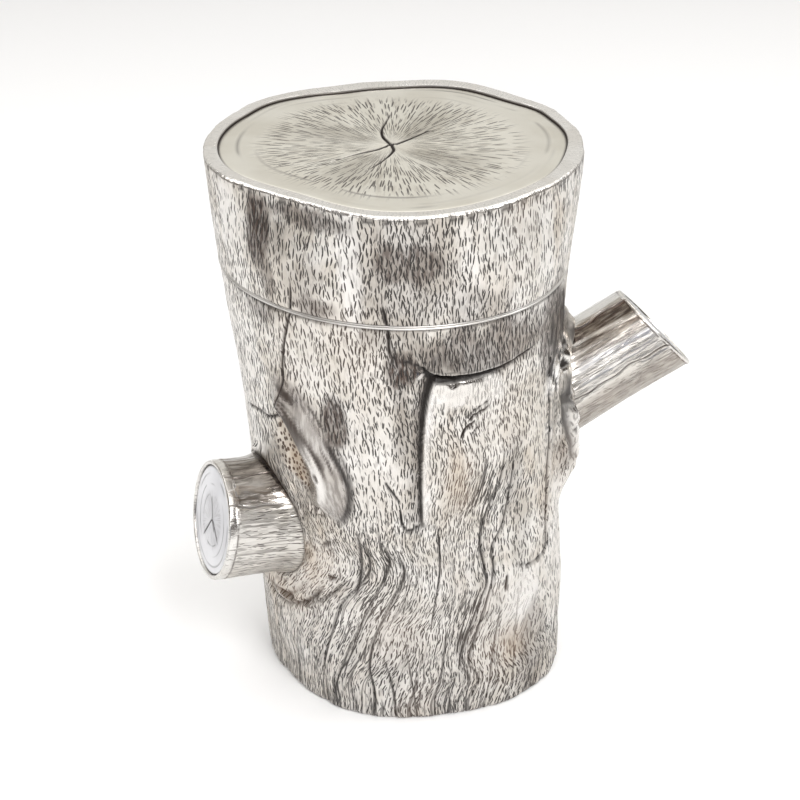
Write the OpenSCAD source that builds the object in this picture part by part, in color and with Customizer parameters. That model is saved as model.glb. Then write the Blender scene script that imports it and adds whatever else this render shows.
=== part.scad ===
// Lidded silver box in the shape of a sawn tree trunk with two lopped branches.
// +Z is up, -Y is the front, and the origin is on the underside, straight below the rim's centre.

/* [Trunk] */
// Height of the closed box from foot to rim
height = 120; // [90:1:160]
// Mean radius of the trunk at its top rim
top_r = 36.4; // [30:0.2:46]
// Mean radius of the trunk at its foot
foot_r = 30.9; // [26:0.1:40]
// How far the foot's centre stands to the right of the top's
lean_x = 3.8; // [0:0.1:5]
// How far the foot's centre stands behind the top's
lean_y = 2.8; // [0:0.1:5]
// Thickness of the chased wall
wall = 1.2; // [0.8:0.1:1.8]
// Thickness of the base plate
base_t = 1.2; // [0.8:0.1:2]

/* [Lid] */
// Height of the lid from its mouth to the rim
lid_h = 23; // [16:0.5:32]
// Height of the plain wire round the mouth of the box
mouth_wire_h = 0.5; // [0.5:0.1:1.5]
// Height of the plain wire round the mouth of the lid
lid_wire_h = 0.4; // [0.4:0.1:1.5]
// Width of the flat bark ring on top of the lid
rim_w = 2.9; // [2:0.1:4]
// Thickness of that ring
rim_t = 1.6; // [1:0.1:2.5]
// Thickness of the end-grain disc in the lid
disc_t = 1; // [0.6:0.1:1.4]
// How far the end-grain disc lies below the rim
disc_drop = 0.4; // [0.2:0.1:0.8]

/* [Collar] */
// How far the friction collar stands up into the lid
collar_up = 8; // [4:0.5:12]
// How far the friction collar reaches down inside the wall
collar_down = 6; // [3:0.5:12]
// Thickness of the friction collar
collar_t = 0.9; // [0.6:0.1:1.5]
// Slip gap between the collar and the lid
collar_fit = 0.1; // [0.06:0.01:0.2]

/* [Left branch] */
// Compass direction of the left branch, from +X
left_az = 206; // [190:1:225]
// Upward tilt of the left branch
left_tilt = 8.8; // [0:0.2:20]
// Height of the left branch's axis at its seat
left_z = 42.6; // [35:0.1:50]
// Outer radius of the left branch
left_r = 12.4; // [9:0.1:14]
// Length of the left branch along its axis, from the bark to its end
left_len = 12.4; // [8:0.1:22]
// Height of the swollen bark round the left branch
left_boss_h = 1.6; // [1.2:0.1:4]
// Width of the slope from that swelling down to the trunk
left_boss_slope = 5; // [3:0.5:12]
// Slant of the left branch's saw cut from square
left_cut = 5; // [0:0.2:18]
// Turn of that slant about the branch, clockwise from straight up, seen from its end
left_cut_turn = -68; // [-90:1:90]

/* [Right branch] */
// Compass direction of the right branch, from +X
right_az = 6; // [-15:1:20]
// Upward tilt of the right branch
right_tilt = 32.4; // [20:0.2:38]
// Depth of the right branch's axis at its seat, below the lid seam
right_drop = 33; // [28:0.1:36]
// Outer radius of the right branch
right_r = 10.4; // [8:0.1:11]
// Length of the right branch along its axis, from the bark to its end
right_len = 23.6; // [14:0.1:28]
// Height of the swollen bark round the right branch
right_boss_h = 2.4; // [1.2:0.1:4]
// Width of the slope from that swelling down to the trunk
right_boss_slope = 8; // [3:0.5:12]
// Slant of the right branch's saw cut from square, to face more upwards
right_cut = 13; // [0:0.2:18]
// Turn of that slant about the branch, clockwise from straight up, seen from its end
right_cut_turn = 34; // [-90:1:90]

/* [Branches] */
// Wall thickness of both hollow branches
branch_wall = 1; // [0.7:0.1:1.5]
// Thickness of the end-grain disc in each branch
branch_disc_t = 1; // [0.6:0.1:1.5]
// How far each branch disc lies inside the branch's end
branch_disc_drop = 0.3; // [0.1:0.1:0.8]
// Solder gap round each branch in its socket
socket_fit = 0.15; // [0.1:0.05:0.3]
// How far each socket's floor stands off the plain trunk
seat_rise = 0.5; // [0.3:0.1:1]

/* [Hidden] */

seam_z = height - lid_h;
right_z = seam_z - right_drop;
// Gap left all round a disc or plate that is soldered inside a wall.
solder_gap = 0.03;
// Points round each outline, and the heights of one step of the lofts outside and inside.
around = 72;
outer_step = 3.6;
inner_step = 10;
// Width of a swelling's flat crown beyond its branch.
boss_crown = 0.9;
// How much further a swelling's slope runs down the trunk than up it.
boss_stretch = 1.3;
bark = "#cfcbc4";
grain = "#dedad2";
plain = "#c4c6c8";
$fn = 96;

// Lobes of the outline, each [waves round the trunk, share of the radius, direction of a crest].
top_lobes = [[2, 0.014, -2], [3, 0.0135, 48], [4, 0.006, 13]];
foot_lobes = [[2, 0.031, -9], [3, 0.0165, -40], [4, 0.0255, -20]];

// Shallow hollows, each [direction, half its width in degrees, height of its deepest point,
// reach below that point, reach above it, depth].
hollows = [[8, 62, 86, 70, 36, 2.6],
           [188, 50, 62, 42, 44, 1.7]];

function sum(v, i = 0) = i < len(v) ? v[i] + sum(v, i + 1) : 0;
function lobes(list, a) = sum([for (l = list) l[1] * cos(l[0] * (a - l[2]))]);
function mix(a, b, t) = a + (b - a) * t;

// Centre of the outline at height z: it leans away from the origin below the rim.
function centre(z) = [lean_x, lean_y] * (1 - z / height);

function wrapped(a) = a - 360 * floor((a + 180) / 360);

// One at u = 0, falling along a cosine to nothing at u = -1 and u = 1.
function hump(u) = abs(u) >= 1 ? 0 : (1 + cos(180 * u)) / 2;

function hollow(a, z) =
    sum([for (h = hollows)
        h[5] * hump(wrapped(a - h[0]) / h[1]) * hump((z - h[2]) / (z < h[2] ? h[3] : h[4]))]);

// Radius of the smooth trunk in direction a at height z.
function plain_r(a, z) =
    mix(foot_r * (1 + lobes(foot_lobes, a)), top_r * (1 + lobes(top_lobes, a)), z / height)
    - hollow(a, z);

// Distance over the bark from a branch's seat, shortened below it so the swelling runs further down.
function reach(a, z, az, zc) =
    norm([plain_r(a, z) * wrapped(a - az) * PI / 180,
          (z - zc) / (z < zc ? boss_stretch : 1)]);

// Swelling of height h round a branch: a flat crown as wide as the branch, then a cosine slope.
function boss(a, z, az, tilt, zc, r, h, slope) =
    h * hump(max(0, reach(a, z, az, zc) - r / cos(tilt) - boss_crown) / slope);

function bark_r(a, z) =
    plain_r(a, z)
    + boss(a, z, left_az, left_tilt, left_z, left_r, left_boss_h, left_boss_slope)
    + boss(a, z, right_az, right_tilt, right_z, right_r, right_boss_h, right_boss_slope);

// One closed outline at height z, drawn in by inset from the smooth trunk or from the bark.
function plain_ring(z, inset, at = undef) =
    [for (i = [0:around - 1]) let (a = i * 360 / around, r = plain_r(a, z) - inset, c = centre(z))
        [c.x + r * cos(a), c.y + r * sin(a), is_undef(at) ? z : at]];
function bark_ring(z) =
    [for (i = [0:around - 1]) let (a = i * 360 / around, r = bark_r(a, z), c = centre(z))
        [c.x + r * cos(a), c.y + r * sin(a), z]];

function flat(ring) = [for (p = ring) [p.x, p.y]];

// Heights from one to another, up or down, in even steps no longer than step.
function levels(from, to, step) =
    let (n = ceil(abs(to - from) / step)) [for (i = [0:n]) mix(from, to, i / n)];

// Horizontal distance from the trunk's own centre to the middle of a branch's seat.
function seat_of(az, z) = plain_r(az, z) + seat_rise;

// Distance from the upright line above the origin to the trunk's side, in direction az.
function side_at(az, z) = plain_r(az, z) + centre(z) * [cos(az), sin(az)];

// Lean of the trunk's side from upright behind a branch of radius r.
function side_lean(az, z, r) = atan((side_at(az, z + r) - side_at(az, z - r)) / (2 * r));

// Radius of the round surface that fits the trunk across a branch of radius r.
function cope_r(az, z, r) =
    let (turn = asin(r / plain_r(az, z)),
         edge = cos(turn) * (plain_r(az - turn, z) + plain_r(az + turn, z)) / 2,
         rise = plain_r(az, z) - edge)
    (r * r + rise * rise) / (2 * rise);

// A ring-shaped solid whose cross-section is the loop that the rings pass through.
module loop_loft(rings) {
    n = len(rings);
    polyhedron(
        points = [for (ring = rings) each ring],
        faces = [for (j = [0:n - 1]) for (i = [0:around - 1])
            let (k = (j + 1) % n, m = (i + 1) % around,
                 a = j * around + i, b = j * around + m, c = k * around + m, d = k * around + i)
            each [[a, c, b], [a, d, c]]]);
}

// A flat ring between two insets of the trunk's outline.
module flat_ring(z, h, inset_out, inset_in) {
    translate([0, 0, z]) linear_extrude(h) difference() {
        polygon(flat(plain_ring(z, inset_out)));
        polygon(flat(plain_ring(z, inset_in)));
    }
}

// Puts a branch's own frame in place: its Z is the branch's axis, and its seat is at the origin.
module at_branch(az, tilt, z) {
    c = centre(z);
    translate([c.x, c.y, z]) rotate([0, 0, az]) translate([seat_of(az, z), 0, 0])
        rotate([0, 90 - tilt, 0]) children();
}

// The trunk's side as a plain round bar, which a branch and its socket are coped to.
module cope(az, z, r) {
    c = centre(z);
    fit_r = cope_r(az, z, r);
    translate([c.x, c.y, z]) rotate([0, 0, az]) translate([seat_of(az, z), 0, 0])
        rotate([0, side_lean(az, z, r), 0]) translate([-fit_r, 0, -3 * r])
            cylinder(r = fit_r, h = 6 * r, $fn = 192);
}

// A round bar along a branch's axis, coped to the trunk and square at its far end.
module branch_bar(az, tilt, z, r, len) {
    difference() {
        at_branch(az, tilt, z) translate([0, 0, -r]) cylinder(r = r, h = len + r);
        cope(az, z, r);
    }
}

// Everything beyond a saw cut that slants by cut from square, turned about the axis by turn.
module beyond_cut(az, tilt, z, len, cut, turn, r, back = 0) {
    at_branch(az, tilt, z) translate([0, 0, len]) rotate([0, 0, -turn]) rotate([0, -cut, 0])
        translate([-2 * r, -2 * r, -back]) cube(4 * r);
}

module branch_wall_piece(az, tilt, z, r, len, cut, turn) {
    difference() {
        branch_bar(az, tilt, z, r, len + r);
        at_branch(az, tilt, z) translate([0, 0, -2 * r])
            cylinder(r = r - branch_wall, h = len + 4 * r);
        beyond_cut(az, tilt, z, len, cut, turn, r);
    }
}

module branch_end_piece(az, tilt, z, r, len, cut, turn) {
    difference() {
        intersection() {
            at_branch(az, tilt, z) cylinder(r = r - branch_wall - solder_gap, h = len + r);
            beyond_cut(az, tilt, z, len, cut, turn, r, branch_disc_drop + branch_disc_t);
        }
        beyond_cut(az, tilt, z, len, cut, turn, r, branch_disc_drop);
    }
}

module socket(az, tilt, z, r, len) {
    branch_bar(az, tilt, z, r + socket_fit, len);
}

module trunk_wall() color(bark) {
    top = seam_z - mouth_wire_h;
    outer = [for (z = levels(0, top, outer_step)) bark_ring(z)];
    inner = [for (z = levels(top, 0, inner_step)) plain_ring(z, wall)];
    difference() {
        loop_loft([each outer, each inner]);
        socket(left_az, left_tilt, left_z, left_r, left_len);
        socket(right_az, right_tilt, right_z, right_r, right_len);
    }
}

module mouth_wire() color(plain)
    flat_ring(seam_z - mouth_wire_h, mouth_wire_h, 0, wall);

module friction_collar() color(plain) {
    fit = wall + collar_fit;
    loop_loft([
        plain_ring(seam_z - collar_down, fit), plain_ring(seam_z, fit),
        plain_ring(seam_z, fit, seam_z + collar_up), plain_ring(seam_z, fit + collar_t, seam_z + collar_up),
        plain_ring(seam_z, fit + collar_t), plain_ring(seam_z - collar_down, fit + collar_t)]);
}

module base_plate() color(plain)
    linear_extrude(base_t) polygon(flat(plain_ring(0, wall + solder_gap)));

module left_branch_wall() color(bark)
    branch_wall_piece(left_az, left_tilt, left_z, left_r, left_len, left_cut, left_cut_turn);

module left_branch_end() color(grain)
    branch_end_piece(left_az, left_tilt, left_z, left_r, left_len, left_cut, left_cut_turn);

module right_branch_wall() color(bark)
    branch_wall_piece(right_az, right_tilt, right_z, right_r, right_len, right_cut, right_cut_turn);

module right_branch_end() color(grain)
    branch_end_piece(right_az, right_tilt, right_z, right_r, right_len, right_cut, right_cut_turn);

module lid_wall() color(bark) {
    low = seam_z + lid_wire_h;
    outer = [for (z = levels(low, height, outer_step)) bark_ring(z)];
    inner = [for (z = levels(height - rim_t, low, inner_step)) plain_ring(z, wall)];
    loop_loft([
        each outer,
        plain_ring(height, rim_w), plain_ring(height, rim_w, height - rim_t),
        each inner]);
}

module lid_wire() color(plain)
    flat_ring(seam_z, lid_wire_h, 0, wall);

module lid_end_grain() color(grain)
    translate([0, 0, height - disc_drop - disc_t])
        linear_extrude(disc_t) polygon(flat(plain_ring(height, rim_w + solder_gap)));

trunk_wall();
mouth_wire();
friction_collar();
base_plate();
left_branch_wall();
left_branch_end();
right_branch_wall();
right_branch_end();
lid_wall();
lid_wire();
lid_end_grain();
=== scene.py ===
"""Looks of a lidded silver box in the shape of a sawn tree trunk with two lopped branches.

Lengths inside the classes are in millimetres and directions in degrees, seen from above: 0 is +X, -90 is
the front. A place on the bark is a direction and a height. Meshes are scaled to metres as they are made.
"""

from __future__ import annotations

import logging
import math
from dataclasses import dataclass, field, replace
from enum import Enum
from typing import Callable, Sequence

import bpy
import numpy as np
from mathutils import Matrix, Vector

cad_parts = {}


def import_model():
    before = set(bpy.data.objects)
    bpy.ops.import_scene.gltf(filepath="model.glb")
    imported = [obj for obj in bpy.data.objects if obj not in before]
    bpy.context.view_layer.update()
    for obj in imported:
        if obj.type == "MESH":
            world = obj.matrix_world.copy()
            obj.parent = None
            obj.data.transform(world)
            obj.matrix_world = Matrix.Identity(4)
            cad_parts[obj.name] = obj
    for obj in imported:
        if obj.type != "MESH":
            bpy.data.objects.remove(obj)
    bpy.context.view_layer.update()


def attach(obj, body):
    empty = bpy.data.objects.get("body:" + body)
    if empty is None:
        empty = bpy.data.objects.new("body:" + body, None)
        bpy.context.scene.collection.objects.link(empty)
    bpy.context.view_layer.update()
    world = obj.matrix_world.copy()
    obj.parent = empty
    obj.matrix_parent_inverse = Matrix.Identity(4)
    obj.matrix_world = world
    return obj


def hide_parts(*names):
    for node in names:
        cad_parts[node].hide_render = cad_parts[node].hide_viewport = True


LOG = logging.getLogger("tree_box")
MM = 0.001

# Every ring starts and ends at the back.
BACK = 90.0

# Millimetres of bark to a degree, and once round, both on a middle radius of 34 mm.
ARC = 34.0 * math.pi / 180.0
ROUND = 360.0 * ARC

# Gap round a plate or disc that is let into a wall.
LET_IN_GAP = 0.03

# The masks that the bark's finish reads from its meshes.
# shade carries tarnish mixed with painted shade and painted dark reflections; glow carries painted
# highlights.
MASKS = ("oxide", "polish", "shade", "warmth", "flow", "glow", "punch")

# Relief below this is pressed together, so that it never reaches twice as deep.
DEEP = 0.45


# ---------------------------------------------------------------- plain maths


def wrapped(angle: np.ndarray) -> np.ndarray:
    """Directions brought into -180 to 180 degrees."""
    return (angle + 180.0) % 360.0 - 180.0


def ramp(value: np.ndarray, low: float, high: float) -> np.ndarray:
    """Smooth step: 0 at low, 1 at high, with a cubic between (3t^2 - 2t^3)."""
    t = np.clip((value - low) / (high - low), 0.0, 1.0)
    return t * t * (3.0 - 2.0 * t)


def hump(value: np.ndarray) -> np.ndarray:
    """1 at 0, falling along a cosine to 0 at -1 and 1."""
    return np.where(np.abs(value) < 1.0, 0.5 + 0.5 * np.cos(np.pi * np.clip(value, -1, 1)), 0.0)


def bell(value: np.ndarray, width: float) -> np.ndarray:
    """Gaussian of the given width: exp(-(value / width)^2)."""
    return np.exp(-np.minimum((value / width) ** 2, 60.0))


def lattice(column: np.ndarray, row: np.ndarray, seed: float) -> np.ndarray:
    """A fixed value from 0 to 1 for each whole-numbered pair: the fraction of a large sine."""
    return np.modf(np.abs(np.sin(column * 127.1 + row * 311.7 + seed * 74.7) * 43758.5453))[0]


def noise(x: np.ndarray, y: np.ndarray, seed: float, around: int = 0) -> np.ndarray:
    """Smooth value noise from -1 to 1.

    Args:
        x: First coordinate, in cells.
        y: Second coordinate, in cells.
        seed: Picks one pattern.
        around: Cells after which x repeats, or 0 for no repeat.

    Returns:
        The four lattice values round each place, blended by smooth steps in x and y.
    """
    x0, y0 = np.floor(x), np.floor(y)
    u, v = ramp(x - x0, 0, 1), ramp(y - y0, 0, 1)
    x1 = x0 + 1
    if around:
        x0, x1 = x0 % around, x1 % around
    low = lattice(x0, y0, seed) * (1 - u) + lattice(x1, y0, seed) * u
    high = lattice(x0, y0 + 1, seed) * (1 - u) + lattice(x1, y0 + 1, seed) * u
    return 2.0 * (low * (1 - v) + high * v) - 1.0


def smooth_route(points: Sequence[tuple[float, float]], steps: int = 6) -> np.ndarray:
    """A Catmull-Rom curve through a few points.

    Args:
        points: The places it passes through.
        steps: Steps from each point to the next.

    Returns:
        Places along the curve, with the last point at its end.
    """
    p = np.array([points[0], *points, points[-1]], float)
    t = np.linspace(0, 1, steps, endpoint=False)[:, None]
    parts = []
    for a, b, c, d in zip(p[:-3], p[1:-2], p[2:-1], p[3:]):
        parts.append(0.5 * (2 * b + (c - a) * t + (2 * a - 5 * b + 4 * c - d) * t**2
                            + (3 * b - a - 3 * c + d) * t**3))
    return np.vstack([*parts, p[-1:]])


# ---------------------------------------------------------------- form of the trunk


@dataclass(frozen=True)
class Lobe:
    """One wave of an outline: so many waves round it, their share of the radius, and one crest."""

    waves: int
    share: float
    crest: float


@dataclass(frozen=True)
class Hollow:
    """A shallow dip in the side: its direction, half width, height, reach down and up, and depth."""

    angle: float
    half_width: float
    z: float
    down: float
    up: float
    depth: float


@dataclass(frozen=True)
class TrunkForm:
    """The smooth trunk that the bark is chased on."""

    height: float = 120.0
    seam: float = 97.0
    top_radius: float = 36.4
    foot_radius: float = 30.9
    lean: tuple[float, float] = (3.8, 2.8)
    top_lobes: tuple[Lobe, ...] = (Lobe(2, 0.014, -2), Lobe(3, 0.0135, 48), Lobe(4, 0.006, 13))
    foot_lobes: tuple[Lobe, ...] = (Lobe(2, 0.031, -9), Lobe(3, 0.0165, -40), Lobe(4, 0.0255, -20))
    hollows: tuple[Hollow, ...] = (Hollow(8, 62, 86, 70, 36, 2.6), Hollow(188, 50, 62, 42, 44, 1.7))
    rim_flats: tuple[Hollow, ...] = (Hollow(-127, 34, 120, 16, 16, 2.1), Hollow(-52, 38, 120, 16, 16, 1.1),
                                     Hollow(70, 25, 120, 16, 16, -1.9), Hollow(138, 17, 120, 16, 16, -0.9),
                                     Hollow(33, 11, 120, 16, 16, -0.5), Hollow(112, 12, 120, 16, 16, 0.4))

    @staticmethod
    def _outline(lobes: tuple[Lobe, ...], angle: np.ndarray) -> np.ndarray:
        """1 plus the sum of the lobes' cosines."""
        return 1.0 + sum(w.share * np.cos(np.radians(w.waves * (angle - w.crest))) for w in lobes)

    def radius(self, angle: np.ndarray, z: np.ndarray) -> np.ndarray:
        """Foot and rim outlines mixed by height, less the hollows and flats (cosine humps both ways).

        Args:
            angle: Directions.
            z: Heights.

        Returns:
            Distances from the centre at that height.
        """
        t = z / self.height
        r = self.foot_radius * self._outline(self.foot_lobes, angle) * (1 - t)
        r = r + self.top_radius * self._outline(self.top_lobes, angle) * t
        for dip in (*self.hollows, *self.rim_flats):
            reach = np.where(z < dip.z, dip.down, dip.up)
            r = r - dip.depth * hump(wrapped(angle - dip.angle) / dip.half_width) * hump((z - dip.z) / reach)
        return r

    def centre(self, z: np.ndarray) -> tuple[np.ndarray, np.ndarray]:
        """Centre of the outline at a height: it moves evenly from the lean at the foot to 0 at the rim."""
        return self.lean[0] * (1 - z / self.height), self.lean[1] * (1 - z / self.height)

    def place(self, angle: np.ndarray, z: np.ndarray, radius: np.ndarray,
              shape_z: np.ndarray | None = None) -> np.ndarray:
        """Points at a direction, height and radius.

        Args:
            angle: Directions.
            z: Heights.
            radius: Distances from the centre.
            shape_z: The height whose centre is used, where it isn't z.

        Returns:
            The points, with x, y and z last.
        """
        cx, cy = self.centre(z if shape_z is None else shape_z)
        a = np.radians(angle)
        return np.stack([cx + radius * np.cos(a), cy + radius * np.sin(a), z + 0 * a], axis=-1)


@dataclass(frozen=True)
class Cut:
    """A line chased or torn in the bark, along a smooth curve through a few places."""

    route: tuple[tuple[float, float], ...]
    width: float = 0.22
    depth: float = 0.3
    lip: float = 0.08
    stain: float = 1.35
    crowd: float = 1.6
    taper: float = 0.0

    def near(self, angle: np.ndarray, z: np.ndarray, margin: float = 4.0) -> tuple[np.ndarray, ...]:
        """Distance to the curve, signed side (positive to the right of its run) and share of its length.

        Args:
            angle: Directions in degrees.
            z: Heights.
            margin: Places further than this from the curve's box get a large distance.

        Returns:
            The three arrays.
        """
        curve = smooth_route(self.route) * (ARC, 1.0)
        x = wrapped(angle - self.route[0][0]) * ARC + self.route[0][0] * ARC
        low, high = curve.min(0) - margin, curve.max(0) + margin
        close = (x > low[0]) & (x < high[0]) & (z > low[1]) & (z < high[1])
        p = np.stack([x[close], z[close]], -1)
        best = np.full(len(p), 1e3)
        side, share = np.zeros(len(p)), np.zeros(len(p))
        count = len(curve) - 1
        for i in range(count):
            a, step = curve[i], curve[i + 1] - curve[i]
            t = np.clip(((p - a) @ step) / (step @ step), 0, 1)
            gap = p - a - t[:, None] * step
            d = np.hypot(gap[:, 0], gap[:, 1])
            nearer = d < best
            best = np.where(nearer, d, best)
            side = np.where(nearer, np.sign(step[1] * gap[:, 0] - step[0] * gap[:, 1]), side)
            share = np.where(nearer, (i + t) / count, share)
        out = [np.full(x.shape, 1e3), np.zeros(x.shape), np.zeros(x.shape)]
        for full, part in zip(out, (best, side, share)):
            full[close] = part
        return tuple(out)

    def carve(self, angle: np.ndarray, z: np.ndarray) -> tuple[np.ndarray, np.ndarray]:
        """A valley with a raised lip on each side, fading at the ends.

        Args:
            angle: Directions.
            z: Heights.

        Returns:
            Relief and stain.
        """
        d, _, share = self.near(angle, z)
        start = np.minimum(share / 0.1, 1) if self.taper == 0 else np.ones_like(share)
        fade = np.sqrt(np.clip(np.minimum(start, (1 - share) / 0.1), 0.15, 1))
        wide = self.width * fade * (1 - self.taper * np.clip(share, 0, 1))
        raised = self.lip * fade * bell(d - 2.2 * wide, 1.4 * self.width)
        return raised - self.depth * fade * bell(d, wide), self.stain * fade * bell(d, 1.15 * wide)


@dataclass(frozen=True)
class Bend:
    """A stretch where the grain swings sideways: its middle, half width and sideways move at some heights."""

    angle: float
    half_width: float
    moves: tuple[tuple[float, float], ...]

    def shift(self, angle: np.ndarray, z: np.ndarray) -> np.ndarray:
        """Sideways move in millimetres: the smoothed moves, fading to the sides as a Gaussian."""
        curve = smooth_route(self.moves)
        move = np.interp(z, curve[:, 0], curve[:, 1])
        return move * ARC * bell(wrapped(angle - self.angle), self.half_width)


@dataclass(frozen=True)
class Knot:
    """Where a lopped branch leaves the trunk, and the branch's own size."""

    angle: float
    tilt: float
    z: float
    radius: float
    length: float
    cut: float
    cut_turn: float
    rise: float = 0.5
    upright: float = 1.0

    def polar(self, angle: np.ndarray, z: np.ndarray) -> tuple[np.ndarray, np.ndarray]:
        """Distance over the bark from the branch's middle, and direction (0 is right, 90 is up)."""
        dx = wrapped(angle - self.angle) * ARC
        dz = (z - self.z) / self.upright
        return np.hypot(dx, dz), np.degrees(np.arctan2(dz, dx))

    def axes(self) -> tuple[np.ndarray, np.ndarray, np.ndarray]:
        """Unit vectors along the branch, across it (level) and up from it."""
        a, e = math.radians(self.angle), math.radians(self.tilt)
        along = np.array([math.cos(a) * math.cos(e), math.sin(a) * math.cos(e), math.sin(e)])
        across = np.array([-math.sin(a), math.cos(a), 0.0])
        return along, across, np.cross(along, across)


FORM = TrunkForm()
LEFT = Knot(-154, 8.8, 42.6, 12.4, 12.4, 5, -68)
RIGHT = Knot(6, 32.4, 64.0, 10.4, 23.6, 13, 34, upright=1.18)


# ---------------------------------------------------------------- bark


@dataclass
class Bark:
    """The chased bark: relief in millimetres and the masks that its finish reads."""

    relief: np.ndarray
    oxide: np.ndarray
    polish: np.ndarray
    shade: np.ndarray
    warmth: np.ndarray
    grain: np.ndarray
    flow: np.ndarray
    glow: np.ndarray
    punch: np.ndarray


@dataclass
class Layers:
    """The bark's relief and masks while they are being worked out."""

    relief: np.ndarray
    oxide: np.ndarray
    polish: np.ndarray
    shade: np.ndarray
    warmth: np.ndarray

    def blacken(self, mask: np.ndarray) -> None:
        """Brings the oxide up to the mask."""
        self.oxide = np.maximum(self.oxide, mask)

    def rub(self, mask: np.ndarray) -> None:
        """Brings the polish up to the mask."""
        self.polish = np.maximum(self.polish, mask)

    def tarnish_and_painted_shade(self, mask: np.ndarray) -> None:
        """Brings the tarnish and painted shade up to the mask."""
        self.shade = np.maximum(self.shade, mask)

    def warm(self, mask: np.ndarray) -> None:
        """Brings the warmth up to the mask."""
        self.warmth = np.maximum(self.warmth, mask)


@dataclass(frozen=True)
class Spot:
    """A soft oval place on the bark: its direction and height, half width and half height, and strength."""

    angle: float
    z: float
    wide: float
    tall: float
    strength: float = 1.0

    def distance(self, angle: np.ndarray, z: np.ndarray) -> np.ndarray:
        """Distance from the middle, 1 at the oval's edge: sqrt((x / wide)^2 + (dz / tall)^2)."""
        return np.hypot(wrapped(angle - self.angle) * ARC / self.wide, (z - self.z) / self.tall)

    def glow(self, angle: np.ndarray, z: np.ndarray) -> np.ndarray:
        """The strength at the middle, falling away as a Gaussian."""
        return self.strength * bell(self.distance(angle, z), 1.0)


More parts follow.
